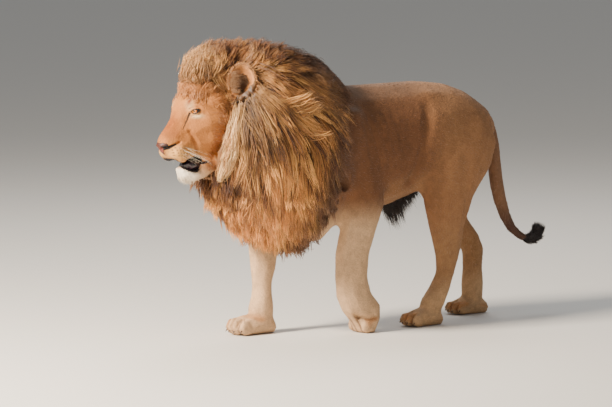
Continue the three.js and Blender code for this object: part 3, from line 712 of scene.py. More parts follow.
# Bare lid skin: black and finely grained, with the soft shine of a moist edge
bare_skin = new_material("bare black skin, moist")
where = add(bare_skin, "ShaderNodeTexCoord")
grain = add(bare_skin, "ShaderNodeTexNoise", [("Vector", where, "Object")], Scale=700, Detail=3)
bump = add(bare_skin, "ShaderNodeBump", [("Height", grain, "Fac")], Strength=0.3, Distance=0.0008)
shader = add(bare_skin, "ShaderNodeBsdfPrincipled", [("Normal", bump, "Normal")],
             Base_Color=(*linear("#14100f"), 1), Roughness=0.38, Coat_Weight=0.3, Coat_Roughness=0.2)
add(bare_skin, "ShaderNodeOutputMaterial", [("Surface", shader, "BSDF")])


def tube(name, path, thick, closed):
    """A closed tube along a path, as a mesh."""
    curve = bpy.data.curves.new(name, "CURVE")
    curve.dimensions = "3D"
    curve.bevel_depth = 1.0
    curve.bevel_resolution = 2
    curve.use_fill_caps = True
    spline = curve.splines.new("POLY")
    spline.points.add(len(path) - 1)
    for place, at, radius in zip(spline.points, path, thick):
        place.co = (*at, 1)
        place.radius = radius
    spline.use_cyclic_u = closed
    holder = bpy.data.objects.new(name, curve)
    bpy.context.scene.collection.objects.link(holder)
    made = bpy.data.meshes.new_from_object(holder.evaluated_get(bpy.context.evaluated_depsgraph_get()))
    bpy.data.objects.remove(holder)
    made.shade_smooth()
    return made


for side, name in ((-1, "left"), (1, "right")):
    gaze = unit(0.75 * eye_out + 0.25 * np.array([-1, 0, -0.05]))
    bm = bmesh.new()
    bmesh.ops.create_uvsphere(bm, u_segments=48, v_segments=72, radius=EYE_RADIUS)
    turn = Vector(mirrored(gaze, side)).to_track_quat("Z", "Y")
    centre = Vector(mirrored(eye_centre, side) + shift)
    ball = made_mesh(bm, "eyeball_" + name)
    local = places(ball)
    angle = np.degrees(np.arccos(np.clip(local[:, 2] / EYE_RADIUS, -1, 1)))
    local *= (1 + 0.07 * np.clip(1 - (angle / LIMBUS) ** 2, 0, 1))[:, None]
    streak = 0.5 + 0.5 * np.sin(23 * np.arctan2(local[:, 1], local[:, 0])) * ramp(angle, 12, 18)
    colours = np.tile(np.array(linear("#2a1a12")), (len(local), 1))
    iris = ramp(LIMBUS - angle, 0, 3)
    colours = blended(colours, (
        ("#6b3c10", iris),
        ("#a8560c", iris * ramp(LIMBUS - angle, 2, 7)),
        ("#b86d1c", 0.5 * streak * iris * ramp(IRIS - angle, 0, 6)),
        ("#c47c1a", ramp(22 - angle, 0, 8) * 0.7),
        ("#060404", ramp(PUPIL - angle, -1.5, 1.5))))
    rot = np.array(turn.to_matrix())
    put_back(ball, local @ rot.T + np.array(centre))
    ball.shade_smooth()
    paint(ball, colours)
    piece = show("eyeball_" + name, ball, eye_wet)
    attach(piece, "root")
    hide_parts("eye_" + name)

    loop = [mirrored(at, side) + shift for at in lid_loop[:-1]]
    thick = [0.0018 if k < LID_STEPS // 2 else 0.0014 for k in range(LID_STEPS)]
    piece = show("lid_rim_" + name, tube("lid rim", loop, thick, True), bare_skin)
    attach(piece, "root")


# --- Nose leather: bare pebbled skin, dark brown with a brick red front and black in the nostrils.
# It is lifted off the hide as a sheet of its own with a tucked edge, and given a thickness.
def leather_share(p, n):
    """1 on the bare leather of the nose, which is widest at the nostrils, and 0 off it."""
    x, y, z = p.T
    wide = np.interp(z, [0.750, 0.757, 0.768, 0.780, 0.790, 0.799, 0.804],
                     [0.001, 0.005, 0.013, 0.024, 0.033, 0.037, 0.030])
    return ramp(wide - np.abs(y), 0, 0.002) * (z > 0.750) * (z < 0.805) * (x < -1.240) * (n[:, 0] < 0.35)


bm = bmesh.new()
bm.from_mesh(hide)
keep_face = leather_share(points, normals) > 0.3
bmesh.ops.delete(bm, geom=[v for v, k in zip(list(bm.verts), keep_face) if not k], context="VERTS")
bm.normal_update()
bmesh.ops.smooth_vert(bm, verts=bm.verts, factor=0.5, use_axis_x=True, use_axis_y=True, use_axis_z=True)
for v in bm.verts:
    v.co += v.normal * (0.0012 - (0.0030 if v.is_boundary else 0))
mesh = made_mesh(bm, "nose_leather")
at = places(mesh) - shift
gap, _ = off_line(at, NOSTRIL)
side = np.abs(at[:, 1])
colours = np.tile(np.array(linear("#4a261c")), (len(at), 1))
paint(mesh, blended(colours, (
    ("#40241e", ramp(side, 0.012, 0.030)),
    ("#4c2c27", ramp(0.014 - gap, 0, 0.005)),
    ("#8c3e2e", 1.2 * spread(at, (-1.286, 0.012, 0.770), (0.012, 0.009, 0.009))),
    ("#0d0807", ramp(0.0125 - gap, 0, 0.003) * ramp(side, 0.010, 0.016)))))
mesh.shade_smooth()
# Nose leather: small pebbles 1.5 mm across, damp enough for a low soft shine
nose_skin = new_material("nose leather, pebbled bare skin")
coat = add(nose_skin, "ShaderNodeAttribute", attribute_name="coat")
where = add(nose_skin, "ShaderNodeTexCoord")
pebble = add(nose_skin, "ShaderNodeTexVoronoi", [("Vector", where, "Object")], Scale=650)
bump = add(nose_skin, "ShaderNodeBump", [("Height", pebble, "Distance")], Strength=0.5, Distance=0.0008)
shader = add(nose_skin, "ShaderNodeBsdfPrincipled",
             [("Base Color", coat, "Color"), ("Normal", bump, "Normal")],
             Roughness=0.55, Specular_IOR_Level=0.35, Coat_Weight=0.08, Coat_Roughness=0.3)
add(nose_skin, "ShaderNodeOutputMaterial", [("Surface", shader, "BSDF")])
nose = show("nose_leather", mesh, nose_skin)
wall = nose.modifiers.new("skin thickness", "SOLIDIFY")
wall.thickness = 0.003
wall.offset = -1
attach(nose, "root")
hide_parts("nose")

# --- Mouth: the wet lining that fills the parted jaws behind the lips, a rounded mass with
# soft folds that the jaws close round. Its colour, painted shade of the mouth's inside, runs from near black
# to dark plum in the folds.
mouth_skin = new_material("mouth lining, wet and dark")
where = add(mouth_skin, "ShaderNodeTexCoord")
fold = add(mouth_skin, "ShaderNodeTexNoise", [("Vector", where, "Object")], Scale=120, Detail=2)
hue = add(mouth_skin, "ShaderNodeValToRGB", [("Fac", fold, "Fac")])
hue.color_ramp.elements[0].position = 0.42
hue.color_ramp.elements[0].color = (*linear("#120b10"), 1)
hue.color_ramp.elements[1].position = 0.72
hue.color_ramp.elements[1].color = (*linear("#4a2c3a"), 1)
bump = add(mouth_skin, "ShaderNodeBump", [("Height", fold, "Fac")], Strength=0.8, Distance=0.006)
shader = add(mouth_skin, "ShaderNodeBsdfPrincipled",
             [("Base Color", hue, "Color"), ("Normal", bump, "Normal")],
             Roughness=0.3, Coat_Weight=0.6, Coat_Roughness=0.1)
add(mouth_skin, "ShaderNodeOutputMaterial", [("Surface", shader, "BSDF")])
bm = bmesh.new()
bmesh.ops.create_icosphere(bm, subdivisions=5, radius=1)
mesh = made_mesh(bm, "mouth_lining")
local = places(mesh)
ripple = 1 + 0.05 * np.sin(9 * local[:, 0] + 3 * local[:, 2]) * np.sin(7 * local[:, 1])
local = local * ripple[:, None] * (0.052, 0.040, 0.024)
tilt = math.radians(-6)
local = np.stack([local[:, 0] * math.cos(tilt) + local[:, 2] * math.sin(tilt), local[:, 1],
                  -local[:, 0] * math.sin(tilt) + local[:, 2] * math.cos(tilt)], 1)
put_back(mesh, local + (-1.132, 0, 0.712) + shift)
mesh.shade_smooth()
lining = show("mouth_lining", mesh, mouth_skin)
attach(lining, "root")

# --- Mane: locks of long coarse hair over an undercoat darkened as painted shade, in one piece for each
# side, the chest and the crest. Each lock follows a guide that starts under the surface of the frame's
# mane, slides along it with the lie of the hair and ends at it.
UNDERCOAT = 0.030              # depth of the undercoat below the tips of the mane
UNDER_BAND = 0.03              # how far the undercoat runs back under the rear band of the hide
SHORT_FROM = -0.640            # behind this the mane is short and lies flat on neck and shoulder


def undercoat_depth(x):
    """How far the undercoat lies under the tips of the mane at a place along the animal."""
    return UNDERCOAT - 0.018 * ramp(x, SHORT_FROM - 0.02, SHORT_FROM + 0.05) - 0.012 * ramp(-x, 1.05, 1.12)


def tree_of(mesh):
    """A search tree that finds the nearest place on the faces of a mesh."""
    return BVHTree.FromPolygons([v.co for v in mesh.vertices], [p.vertices for p in mesh.polygons])


bulk = one_body(joined_copy(MANE + ["neck", "chest", "head"], SWELL), 0.012)
bulk_points = relaxed(bulk, places(bulk), 15)
put_back(bulk, bulk_points)
bulk_ways = ways(bulk)
outside = tree_of(bulk)
mane_only = {n: tree_of(joined_copy([n], 0)) for n in MANE}


def nearest_node(p):
    """The part of the solid mane that is nearest to a place, and how far it is."""
    found = {n: tree.find_nearest(p)[3] for n, tree in mane_only.items()}
    best = min(found, key=found.get)
    return best, found[best]


flesh_only = tree_of(joined_copy(["neck", "chest", "head", "upper_arm_left", "upper_arm_right"], 0))
owner = []                     # the part of the solid mane under each point, or none on bare flesh
for p in bulk_points:
    name, gap = nearest_node(p)
    owner.append(name if gap < 0.008 and gap < flesh_only.find_nearest(p)[3] + 0.004 else "")
owner = np.array(owner)

rng = np.random.default_rng(7)


def scattered(mesh, points, many, keep, apart):
    """Roots spread over the faces of a mesh, at most one in each small cube of space."""
    tris = np.array([[p.vertices[0], p.vertices[i], p.vertices[i + 1]]
                     for p in mesh.polygons for i in range(1, len(p.vertices) - 1)])
    a, b, c = points[tris[:, 0]], points[tris[:, 1]], points[tris[:, 2]]
    size = np.linalg.norm(np.cross(b - a, c - a), axis=1) * keep[tris].mean(1)
    pick = rng.choice(len(tris), many, p=size / size.sum())
    s, t = rng.random((2, many, 1))
    over = (s + t) > 1
    s, t = np.where(over, 1 - s, s), np.where(over, 1 - t, t)
    at = a[pick] + s * (b[pick] - a[pick]) + t * (c[pick] - a[pick])
    cell = np.floor(at / apart).astype(np.int64)
    _, first = np.unique(cell, axis=0, return_index=True)
    first.sort()
    return at[first], tris[pick[first], 0]


def mane_lie(p):
    """Which way the mane's hair runs: up and back over the crown, back and down the sides."""
    x, y, z = p.T
    crown = np.interp(x, [-1.20, -1.15, -1.10, -1.00, -0.90, -0.80, -0.65, -0.50, -0.40],
                      [84, 78, 72, 64, 52, 32, -2, -30, -42])
    flank = -50 - 32 * ramp(1.05 - z, 0, 0.40) - 16 * ramp(-x, 0.95, 1.08) + 8 * ramp(x, -0.66, -0.58)
    flank = flank + 30 * np.exp(-((x + 0.70) / 0.06) ** 2 - ((z - 0.92) / 0.10) ** 2)
    top = np.maximum(ramp(z, 1.04, 1.13), ramp(-x, 1.06, 1.12) * ramp(z, 0.92, 0.97))
    angle = np.radians(flank + top * (crown - flank))
    out = 0.30 * top * np.sign(y) * ramp(np.abs(y), 0.02, 0.10)
    way = np.stack([np.cos(angle), out, np.sin(angle)], 1)
    return unit(way)


def hair_length(p):
    """Length of the mane's hair: short on the forehead and the rear shoulder, long on the bib."""
    x, _, z = p.T
    long = 0.22 + 0.05 * ramp(0.95 - z, 0, 0.2)
    long = long - 0.12 * ramp(z, 1.04, 1.12)
    long = long - 0.05 * ramp(-x, 1.02, 1.12) * ramp(z, 0.9, 1.0)
    long = np.maximum(long, 0.055)
    long = long - (long - 0.035) * ramp(-x, 1.06, 1.12) * ramp(1.09 - z, 0, 0.09)
    short = ramp(x, SHORT_FROM - 0.02, SHORT_FROM + 0.06)
    return long + (0.055 - long) * short


# Roots of the locks: on the mane's outside, thicker on the brow, and on the forehead ahead of it,
# where the solid mane leaves the skull bare
STEPS = 7                      # guide points of a lock, from its root to its tip
bare_brow = (owner == "") & (bulk_points[:, 0] < AHEAD - 1.07) & (bulk_points[:, 2] > 0.970)
bare_brow &= np.abs(bulk_points[:, 1]) < 0.095
owner[bare_brow] = "mane_crest"
rear = 0.55 - 0.10 * ramp(bulk_points[:, 2], 0.88, 1.00)
keep = (owner != "") * ramp(AHEAD - rear - bulk_points[:, 0], 0, 0.10)
keep *= 1 - ramp(bulk_points[:, 0], AHEAD - 0.62, AHEAD - 0.58) * ramp(0.55 - bulk_points[:, 2], 0, 0.05)
roots, near = scattered(bulk, bulk_points, 26000, keep, 0.0335)
brow_front = ramp(AHEAD - 1.04 - bulk_points[:, 0], 0, 0.03) * ramp(bulk_points[:, 2], 0.955, 0.985)
more, more_near = scattered(bulk, bulk_points, 3000, keep * brow_front, 0.018)
roots, near = np.concatenate([roots, more]), np.concatenate([near, more_near])
on_mane = owner[near] != ""
roots, near = roots[on_mane], near[on_mane]
root_ways = bulk_ways[near]
root_owner = owner[near]

# Guides: each lock wanders a little from the lie of the hair and keeps to the outside of the mane,
# which it reaches at its tip. Where it would stand out more than its share it is cut short.
wander = rng.normal(0, 1, (len(roots), 3))
of_brow = ramp(AHEAD - 1.05 - roots[:, 0], 0, 0.05) * ramp(1.10 - roots[:, 2], 0, 0.08)
wander *= (1 - 0.6 * of_brow)[:, None]
lengths = hair_length(roots - shift) * rng.uniform(0.75, 1.2, len(roots))
guides = np.empty((len(roots), STEPS + 1, 3))
past = np.zeros((len(roots), STEPS + 1))
bare = bare_brow[near]
root_depth = np.where(bare, 0.009, undercoat_depth(roots[:, 0] - AHEAD) + 0.004 * of_brow)
lengths = np.where(bare, rng.uniform(0.045, 0.075, len(roots)), lengths)
guides[:, 0] = roots - root_ways * root_depth[:, None]
beyond = rng.uniform(0.001, 0.009, len(roots)) * (1 - 0.7 * of_brow)
beyond = beyond + 0.012 * rng.random(len(roots)) * ramp(0.6 - roots[:, 2], 0, 0.1)
beyond += 0.013 * ramp(wander[:, 0], 0.4, 1.4) * ramp(roots[:, 2], 1.02, 1.08)
for i in range(len(roots)):
    p = guides[i, 0].copy()
    for k in range(1, STEPS + 1):
        t = k / STEPS
        way = mane_lie((p - shift)[None])[0] + 0.16 * wander[i]
        way /= np.linalg.norm(way)
        p = p + way * lengths[i] / STEPS
        q, face, _, _ = outside.find_nearest(p)
        q, face = np.array(q), np.array(face)
        inside = np.dot(p - q, face)
        target = -root_depth[i] * (1 - t) ** 0.6 + 0.001 - 0.008 * of_brow[i] * (1 - bare[i])
        free = ramp(np.dot(way, face), 0.25, 0.7)
        p = p + (1 - free) * (target - inside) * face
        past[i, k] = np.dot(p - q, face) * free
        guides[i, k] = p
# A cut lock keeps all its guide points, spaced over what is left of it
too_far = past > beyond[:, None]
within = np.where(too_far.any(1), np.argmax(too_far, axis=1), STEPS)
within = np.maximum(within, 2) / STEPS
stops = within[:, None] * np.linspace(0, 1, STEPS + 1) * STEPS
floor_step = np.minimum(stops.astype(int), STEPS - 1)
part = (stops - floor_step)[..., None]
row = np.arange(len(roots))[:, None]
guides = guides[row, floor_step] * (1 - part) + guides[row, floor_step + 1] * part
# No lock crosses an ear, the cheek locks come later, and on the right none hangs low at the rear
clear = np.ones(len(roots), bool)
for side in (-1, 1):
    ear = np.array([-0.984 + AHEAD - 0.02, side * 0.150, 1.035])
    clear &= (np.linalg.norm(guides - ear, axis=2) > 0.058).all(axis=1)
clear &= ~np.char.startswith(root_owner, "mane_cheek")
clear &= ~((guides[..., 0] > AHEAD - 0.64) & (guides[..., 2] < 0.48) & (guides[..., 1] > 0)).any(axis=1)
guides, roots, root_ways = guides[clear], roots[clear], root_ways[clear]
root_owner, bare = root_owner[clear], bare[clear]

# Wisps that break out of the mane behind each ear and curl away from it
wisps = []
for side, name in ((-1, "mane_left"), (1, "mane_right")):
    for root, way in (((-0.830, 0.222, 0.945), (0.85, 0.20, 0.00)),
                      ((-0.790, 0.228, 0.900), (0.90, 0.20, 0.12)),
                      ((-0.760, 0.230, 0.850), (0.85, 0.20, -0.25))):
        for _ in range(3):
            start = np.array(root) + rng.normal(0, 0.016, 3) * (1, 0.3, 1)
            way_now = unit(np.array(way) + rng.normal(0, 0.10, 3))
            t = np.linspace(0, 1, STEPS + 1)[:, None]
            path = start + 0.11 * t * way_now + t ** 2 * np.array([0.006, -0.012, 0.030])
            wisps.append((path * (1, side, 1) + shift, name))
guides = np.concatenate([guides, [w[0] for w in wisps]])
roots = np.concatenate([roots, [w[0][0] for w in wisps]])
root_ways = np.concatenate([root_ways, [unit(np.array([0, w[0][0, 1], 0.001])) for w in wisps]])
root_owner = np.concatenate([root_owner, [w[1] for w in wisps]])
bare = np.append(bare, np.zeros(len(wisps), bool))


def mane_colour(p, luck):
    """Gold at the front and sides with painted sunlight on the bib, grey brown over the rear ridge and
    shoulder, painted shade under the jaw, behind the ear and cheek lock, on the crest's top and between
    locks.
    """
    x, _, z = p.T
    c = np.tile(np.array(linear("#b87c42")), (len(p), 1))
    c = blended(c, (
        # partly painted highlights on the lightest locks and painted shade on the darkest, partly random tone
        ("#e8ae64", ramp(luck, 0.42, 0.85)),
        # painted sunlight, brighter and more orange on the low front of the bib
        ("#d9924c", 0.4 * ramp(0.82 - z, 0, 0.15) * ramp(-x, 0.70, 0.82)),
        ("#4a2611", ramp(0.44 - luck, 0, 0.34) * (1 - 0.6 * ramp(0.70 - z, 0, 0.2))),
        # painted shade under the jaw
        ("#6a4322", 0.55 * spread(p, (-1.000, 0.10, 0.660), (0.050, 0.09, 0.070))),
        # painted shadow behind the ear and cheek lock
        ("#3a1b0a", 0.85 * spread(p, (-0.985, 0.17, 0.920), (0.030, 0.07, 0.100))),
        ("#86603f", 0.6 * ramp(x, -0.86, -0.70) * ramp(z, 0.95, 1.08)),
        ("#775436", 0.85 * ramp(x, SHORT_FROM - 0.02, SHORT_FROM + 0.03))))
    c = c * (1 + 0.35 * ramp(0.86 - z, 0, 0.12) * ramp(-x, 0.70, 0.82))[:, None]     # painted sunlight on the bib
    return blended(c, (
        # painted shadow below and behind the cheek lock
        ("#3f1c0a", 0.85 * spread(p, (-1.030, 0.15, 0.655), (0.045, 0.09, 0.055))),
        ("#523429", 0.65 * ramp(x, -0.72, -0.65) * ramp(0.92 - z, 0, 0.08)),
        # painted shade on the front of the crest's top
        ("#74492a", 0.75 * ramp(x, -1.15, -1.04) * ramp(z, 1.06, 1.13)),
        ("#382114", 0.8 * ramp(x, -0.90, -0.66) * ramp(z, 1.02, 1.12)),
        ("#b58a58", 0.6 * ramp(-x, 1.04, 1.13) * ramp(z, 0.95, 1.05)),
        ("#6b4830", 0.9 * ramp(x, -0.58, -0.52)),
        ("#ad7038", 0.95 * ramp(-x, 1.05, 1.10) * ramp(1.08 - z, 0, 0.09))))


# Long hair: the colour of each strand with a soft edge to its shine, as dry hair has in the sun
long_hair = new_material("lion mane hair, coarse and dry")
coat = add(long_hair, "ShaderNodeAttribute", attribute_name="coat")
shader = add(long_hair, "ShaderNodeBsdfPrincipled", [("Base Color", coat, "Color")],
             Roughness=0.55, Sheen_Weight=0.1, Sheen_Roughness=0.4)
add(long_hair, "ShaderNodeOutputMaterial", [("Surface", shader, "BSDF")])

# The undercoat: the same body drawn in, ridged along the lie of the hair like packed locks
cut_body = bmesh.new()
cut_body.from_mesh(bulk)
cut_off(cut_body, BAND_FROM + UNDER_BAND, clear_outer=True)
core = made_mesh(cut_body, "mane_undercoat")
core_points = places(core)
core_ways = ways(core)
lie = mane_lie(core_points - shift)
across = np.cross(lie, core_ways)
ridge_at = (core_points * unit(across)).sum(1)
ridge = np.sin(ridge_at * 260 + 3 * np.sin(core_points @ np.array([20.0, 14.0, 9.0])))
x, z = core_points[:, 0] - AHEAD, core_points[:, 2]
core_depth = undercoat_depth(x) + 0.030 * ramp(x, -0.66, BAND_FROM + 0.02) - 0.003 * ridge
inward = -core_ways[:, 1] * np.sign(core_points[:, 1]) * ramp(np.abs(core_points[:, 1]), 0.06, 0.10)
core_depth = core_depth * (1 - ramp(inward, 0.1, 0.4))
core_depth = core_depth + 0.03 * ramp(x, -0.68, -0.62) * ramp(0.50 - z, 0, 0.04)
put_back(core, core_points - core_ways * core_depth[:, None])
core.shade_smooth()
# Darkened to about a third as painted shade deep in the mane
under = mane_colour(core_points - shift, np.clip(0.42 + 0.2 * ridge, 0, 1)) * 0.36
paint(core, under)
undercoat = show("mane_undercoat", core, long_hair)
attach(undercoat, "root")


def strands(centres, half, flat_way):
    """Closed three sided tapering strands round the given centre lines, as points and faces."""
    many, rings, _ = centres.shape
    along = unit(np.gradient(centres, axis=1))
    side = unit(np.cross(along, flat_way[:, None, :]))
    over = np.cross(side, along)
    t = np.linspace(0, 1, rings)
    taper = np.minimum(1, 0.55 + 1.6 * t) * (1 - t ** 2.2)
    wide = half[:, None] * taper
    body = [centres + wide[..., None] * (math.cos(a) * side + 0.6 * math.sin(a) * over)
            for a in (math.pi / 2, math.pi * 7 / 6, math.pi * 11 / 6)]
    tube = np.stack([b[:, :-1] for b in body], 2).reshape(many, -1, 3)
    points = np.concatenate([tube, centres[:, -1:]], 1)
    per = points.shape[1]
    faces = []
    for r in range(rings - 2):
        for s in range(3):
            a, b = 3 * r + s, 3 * r + (s + 1) % 3
            faces += [(a, b, b + 3), (a, b + 3, a + 3)]
    last = 3 * (rings - 2)
    faces += [(last + s, last + (s + 1) % 3, per - 1) for s in range(3)] + [(0, 2, 1)]
    faces = np.array(faces)
    whole = (faces[None] + per * np.arange(many)[:, None, None]).reshape(-1, 3)
    return points.reshape(-1, 3), whole, per


def rolled_out(p, centre, size):
    """An unwrap of a rounded part: the way round its middle and the way up it, seen from its centre."""
    x, y, z = ((p - centre) / size).T
    return np.stack([np.arctan2(y, -x), np.arctan2(z, np.hypot(x, y))], 1)


def filled(chart):
    """The chart moved and sized to fill the map, with a small margin."""
    low_corner, high_corner = chart.min(0), chart.max(0)
    return 0.01 + 0.98 * (chart - low_corner) / (high_corner - low_corner)


def root_to_tip(root, end, tip, rings):
    """The shade of each point of a strand: even steps from its root to its last ring, and its tip."""
    return np.append(np.repeat(np.linspace(root, end, rings - 1), 3), tip)[None, :, None]


def tufts(name, line, half, face, base, shade, root_uv):
    """A piece of strands, each in its own colour times the shade of each of its points, with an
    OFBake map that lays each strand at its root."""
    points, faces, per = strands(line, half, face)
    mesh = bpy.data.meshes.new(name)
    mesh.vertices.add(len(points))
    mesh.vertices.foreach_set("co", points.astype(np.float32).ravel())
    mesh.loops.add(3 * len(faces))
    mesh.loops.foreach_set("vertex_index", faces.astype(np.int32).ravel())
    mesh.polygons.add(len(faces))
    mesh.polygons.foreach_set("loop_start", np.arange(0, 3 * len(faces), 3, dtype=np.int32))
    mesh.update(calc_edges=True)
    paint(mesh, (base[:, None] * shade).reshape(-1, 3))
    layer = mesh.uv_layers.new(name="OFBake")
    turn = np.arange(per) % 3 * 2.0944
    rise = np.arange(per) / per
    patch = 0.0015 * np.stack([np.cos(turn) * (1 - 0.8 * rise), 2 * rise - 1], 1)
    uv = (root_uv[:, None, :] + patch[None]).reshape(-1, 2)
    layer.data.foreach_set("uv", uv[faces.ravel()].astype(np.float32).ravel())
    mesh.shade_smooth()
    return show(name, mesh, long_hair)


PER_LOCK = 22                  # hairs in one lock
RINGS = 4                      # rings of a hair from its root on, before its tip
MOST = 8900                    # hairs in one piece, to keep it small
HAIR_PARTS = ["_hair", "_hair_more"]


def combed(g, face, count, apart, wide, gather, fore=3):
    """Hairs of a lock: copies of its guide set apart at the root that gather towards the tip."""
    lock = np.repeat(np.arange(len(g)), count)
    g, face = g[lock], face[lock]
    n = len(lock)
    t = np.linspace(0, 1, RINGS + 1)
    at = t * (g.shape[1] - 1)
    k = np.minimum(at.astype(int), g.shape[1] - 2)
    line = g[:, k] + (at - k)[None, :, None] * (g[:, k + 1] - g[:, k])
    along = unit(g[:, 2] - g[:, 0])
    side = unit(np.cross(along, face))
    close = 1 - gather * t ** 1.3
    swirl = 0.004 * rng.normal(0, 1, (n, 1)) * np.sin(
        math.pi * t * rng.uniform(0.8, 2.2, (n, 1)) + rng.uniform(0, 6, (n, 1)))
    line = line[:, :1] + (line - line[:, :1]) * rng.uniform(0.78, 1.06, (n, 1, 1))
    line = line + (rng.normal(0, apart, (n, 1)) * close + swirl)[..., None] * side[:, None]
    line = line + (rng.uniform(-fore, fore, (n, 1)) * apart * close)[..., None] * along[:, None]
    line = line + (rng.uniform(-0.006, 0.003, (n, 1)) * (1 - 0.5 * t))[..., None] * face[:, None]
    half = wide * rng.uniform(0.7, 1.3, n)
    return line, half, face, lock


MANE_MIDDLE = np.array([-0.85, 0, 0.80])


def hair_piece(name, line, half, face, base, node, shades=(0.45, 1.14), middle=MANE_MIDDLE,
               pale_root=0.0):
    """A piece of combed hair, darker at its roots than at its tips, partly as painted shade deep in the hair.
    """
    shade = root_to_tip(*shades, shades[1], RINGS + 1)
    shade = shade + np.reshape(pale_root, (-1, 1, 1)) * (1 - shade)
    chart = rolled_out(line[:, 0] - shift, middle, (1, 1, 1))
    piece = tufts(name, line, half, face, base, shade, filled(chart))
    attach(piece, "root")
    if node:
        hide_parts(node)


# Locks of one tone run in bands, and each lock and hair has some luck of its own in its colour;
# the darkest locks stand partly for painted shade between locks and the lightest partly for painted
# highlights
band = np.sin(roots @ np.array([38.0, 9.0, 6.0]) + 2 * np.sin(roots @ np.array([4.0, 7.0, 21.0])))
luck = np.clip(0.5 + 0.25 * band + rng.normal(0, 0.22, len(guides)), 0, 1)
luck[-len(wisps):] = 0.62      # the wisps stand in the light
for name in sorted(set(root_owner)):
    own = np.flatnonzero(root_owner == name)
    crest = name == "mane_crest"
    line, half, face, lock = combed(guides[own], root_ways[own], PER_LOCK - 3 * crest,
                                    0.013 + 0.006 * crest, 0.0021 - 0.0005 * crest, 0.58 - 0.16 * crest,
                                    3 - 2.4 * crest)
    base = mane_colour(line[:, 0] - shift, np.clip(luck[own][lock] + rng.normal(0, 0.13, len(lock)), 0, 1))
    base = base * rng.uniform(0.85, 1.15, (len(lock), 1))
    for k in range(0, len(lock), MOST):
        part = slice(k, k + MOST)
        hair_piece(name + HAIR_PARTS[k // MOST], line[part], half[part], face[part],
                   base[part], "" if k else name, pale_root=0.9 * bare[own][lock[part]])

# --- Claws: dark curved horn, drawn back into the fur at the front of each toe, four to a paw. Those
# of the lifted left forepaw point down with it.
claw_horn = new_material("claw horn, polished by wear")
shader = add(claw_horn, "ShaderNodeBsdfPrincipled", Base_Color=(*linear("#3a2a20"), 1), Roughness=0.35)
add(claw_horn, "ShaderNodeOutputMaterial", [("Surface", shader, "BSDF")])
claws = bmesh.new()
for tip, middle, width, long in PAWS:
    for place in (-1.5, -0.5, 0.5, 1.5):
        y = middle + place * TOE_PITCH * width
        front = tip + 0.012 * abs(place)
        if tip == LEFT_FORE:
            path = [(-0.368, y, 0.030), (-0.366, y, 0.020), (-0.360, y, 0.011), (-0.352, y, 0.005)]
        else:
            path = [(front + 0.018, y, 0.024), (front + 0.010, y, 0.022), (front + 0.005, y, 0.017),
                    (front + 0.002, y, 0.012)]
        at = [np.array(p) + shift for p in path]
        claws.from_mesh(tube("claw", at, (0.0032, 0.0028, 0.0020, 0.0005), False))
piece = show("claws", made_mesh(claws, "claws"), claw_horn)
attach(piece, "root")

# --- Ear hair: hair that grows from the front edge of each ear across its cup, where it lies in the
# shade, and a short paler fluff all round the rim.
IN_CUP, ON_RIM = 260, 700      # hairs
EAR_UP = np.array([0, 0, 1.0])
EVEN = root_to_tip(1, 1, 1, 4)               # one shade from root to tip
starts, ends, bends = [], [], []
for _ in range(IN_CUP):        # across the cup, from its front edge
    high_at = rng.uniform(-0.045, 0.040)
    edge = 0.050 * math.sqrt(1 - (high_at / 0.068) ** 2)
    start = EAR_AT - EAR_BACK * (edge - rng.uniform(0.0, 0.012)) + EAR_UP * high_at
    reach = rng.uniform(0.022, 0.046)
    starts.append(start + EAR_OUT * rng.uniform(-0.004, 0.010))
    ends.append(starts[-1] + reach * unit(EAR_BACK + 0.35 * EAR_UP * rng.normal(0.2, 0.6) + 0.25 * EAR_OUT))
    bends.append(EAR_OUT * 0.004)
for _ in range(ON_RIM):        # round the rim
    turn = rng.uniform(-0.9, 3.6)
    way = EAR_BACK * math.cos(turn) * 0.054 + EAR_UP * math.sin(turn) * 0.068
    starts.append(EAR_AT + way * rng.uniform(0.92, 1.06) + EAR_OUT * rng.uniform(-0.012, 0.006))
    ends.append(starts[-1] + rng.uniform(0.004, 0.010) * unit(unit(way) + 0.5 * rng.normal(0, 1, 3)))
    bends.append(EAR_UP * 0.0)
starts, ends, bends = (np.array(v)[:, None] for v in (starts, ends, bends))
t = np.linspace(0, 1, 4)[None, :, None]
line = starts + t * (ends - starts) + np.sin(math.pi * t) * bends
for side, name in ((-1, "left"), (1, "right")):
    own = line * (1, side, 1)
    face = np.tile(EAR_OUT * (1, side, 1), (len(own), 1))
    half = rng.uniform(0.0005, 0.0009, len(own))
    base = mixed(np.tile(np.array(linear("#a26c3a")), (len(own), 1)), "#c99560", rng.random(len(own)))
    # Painted shade: the hairs across the cup are darkened
    base[:IN_CUP] *= 0.45
    chart = filled(np.stack([(own[:, 0] - EAR_AT * (1, side, 1)) @ EAR_BACK, own[:, 0, 2]], 1))
    piece = tufts("ear_hair_" + name, own + shift, half, face, base, EVEN, chart)
    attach(piece, "root")

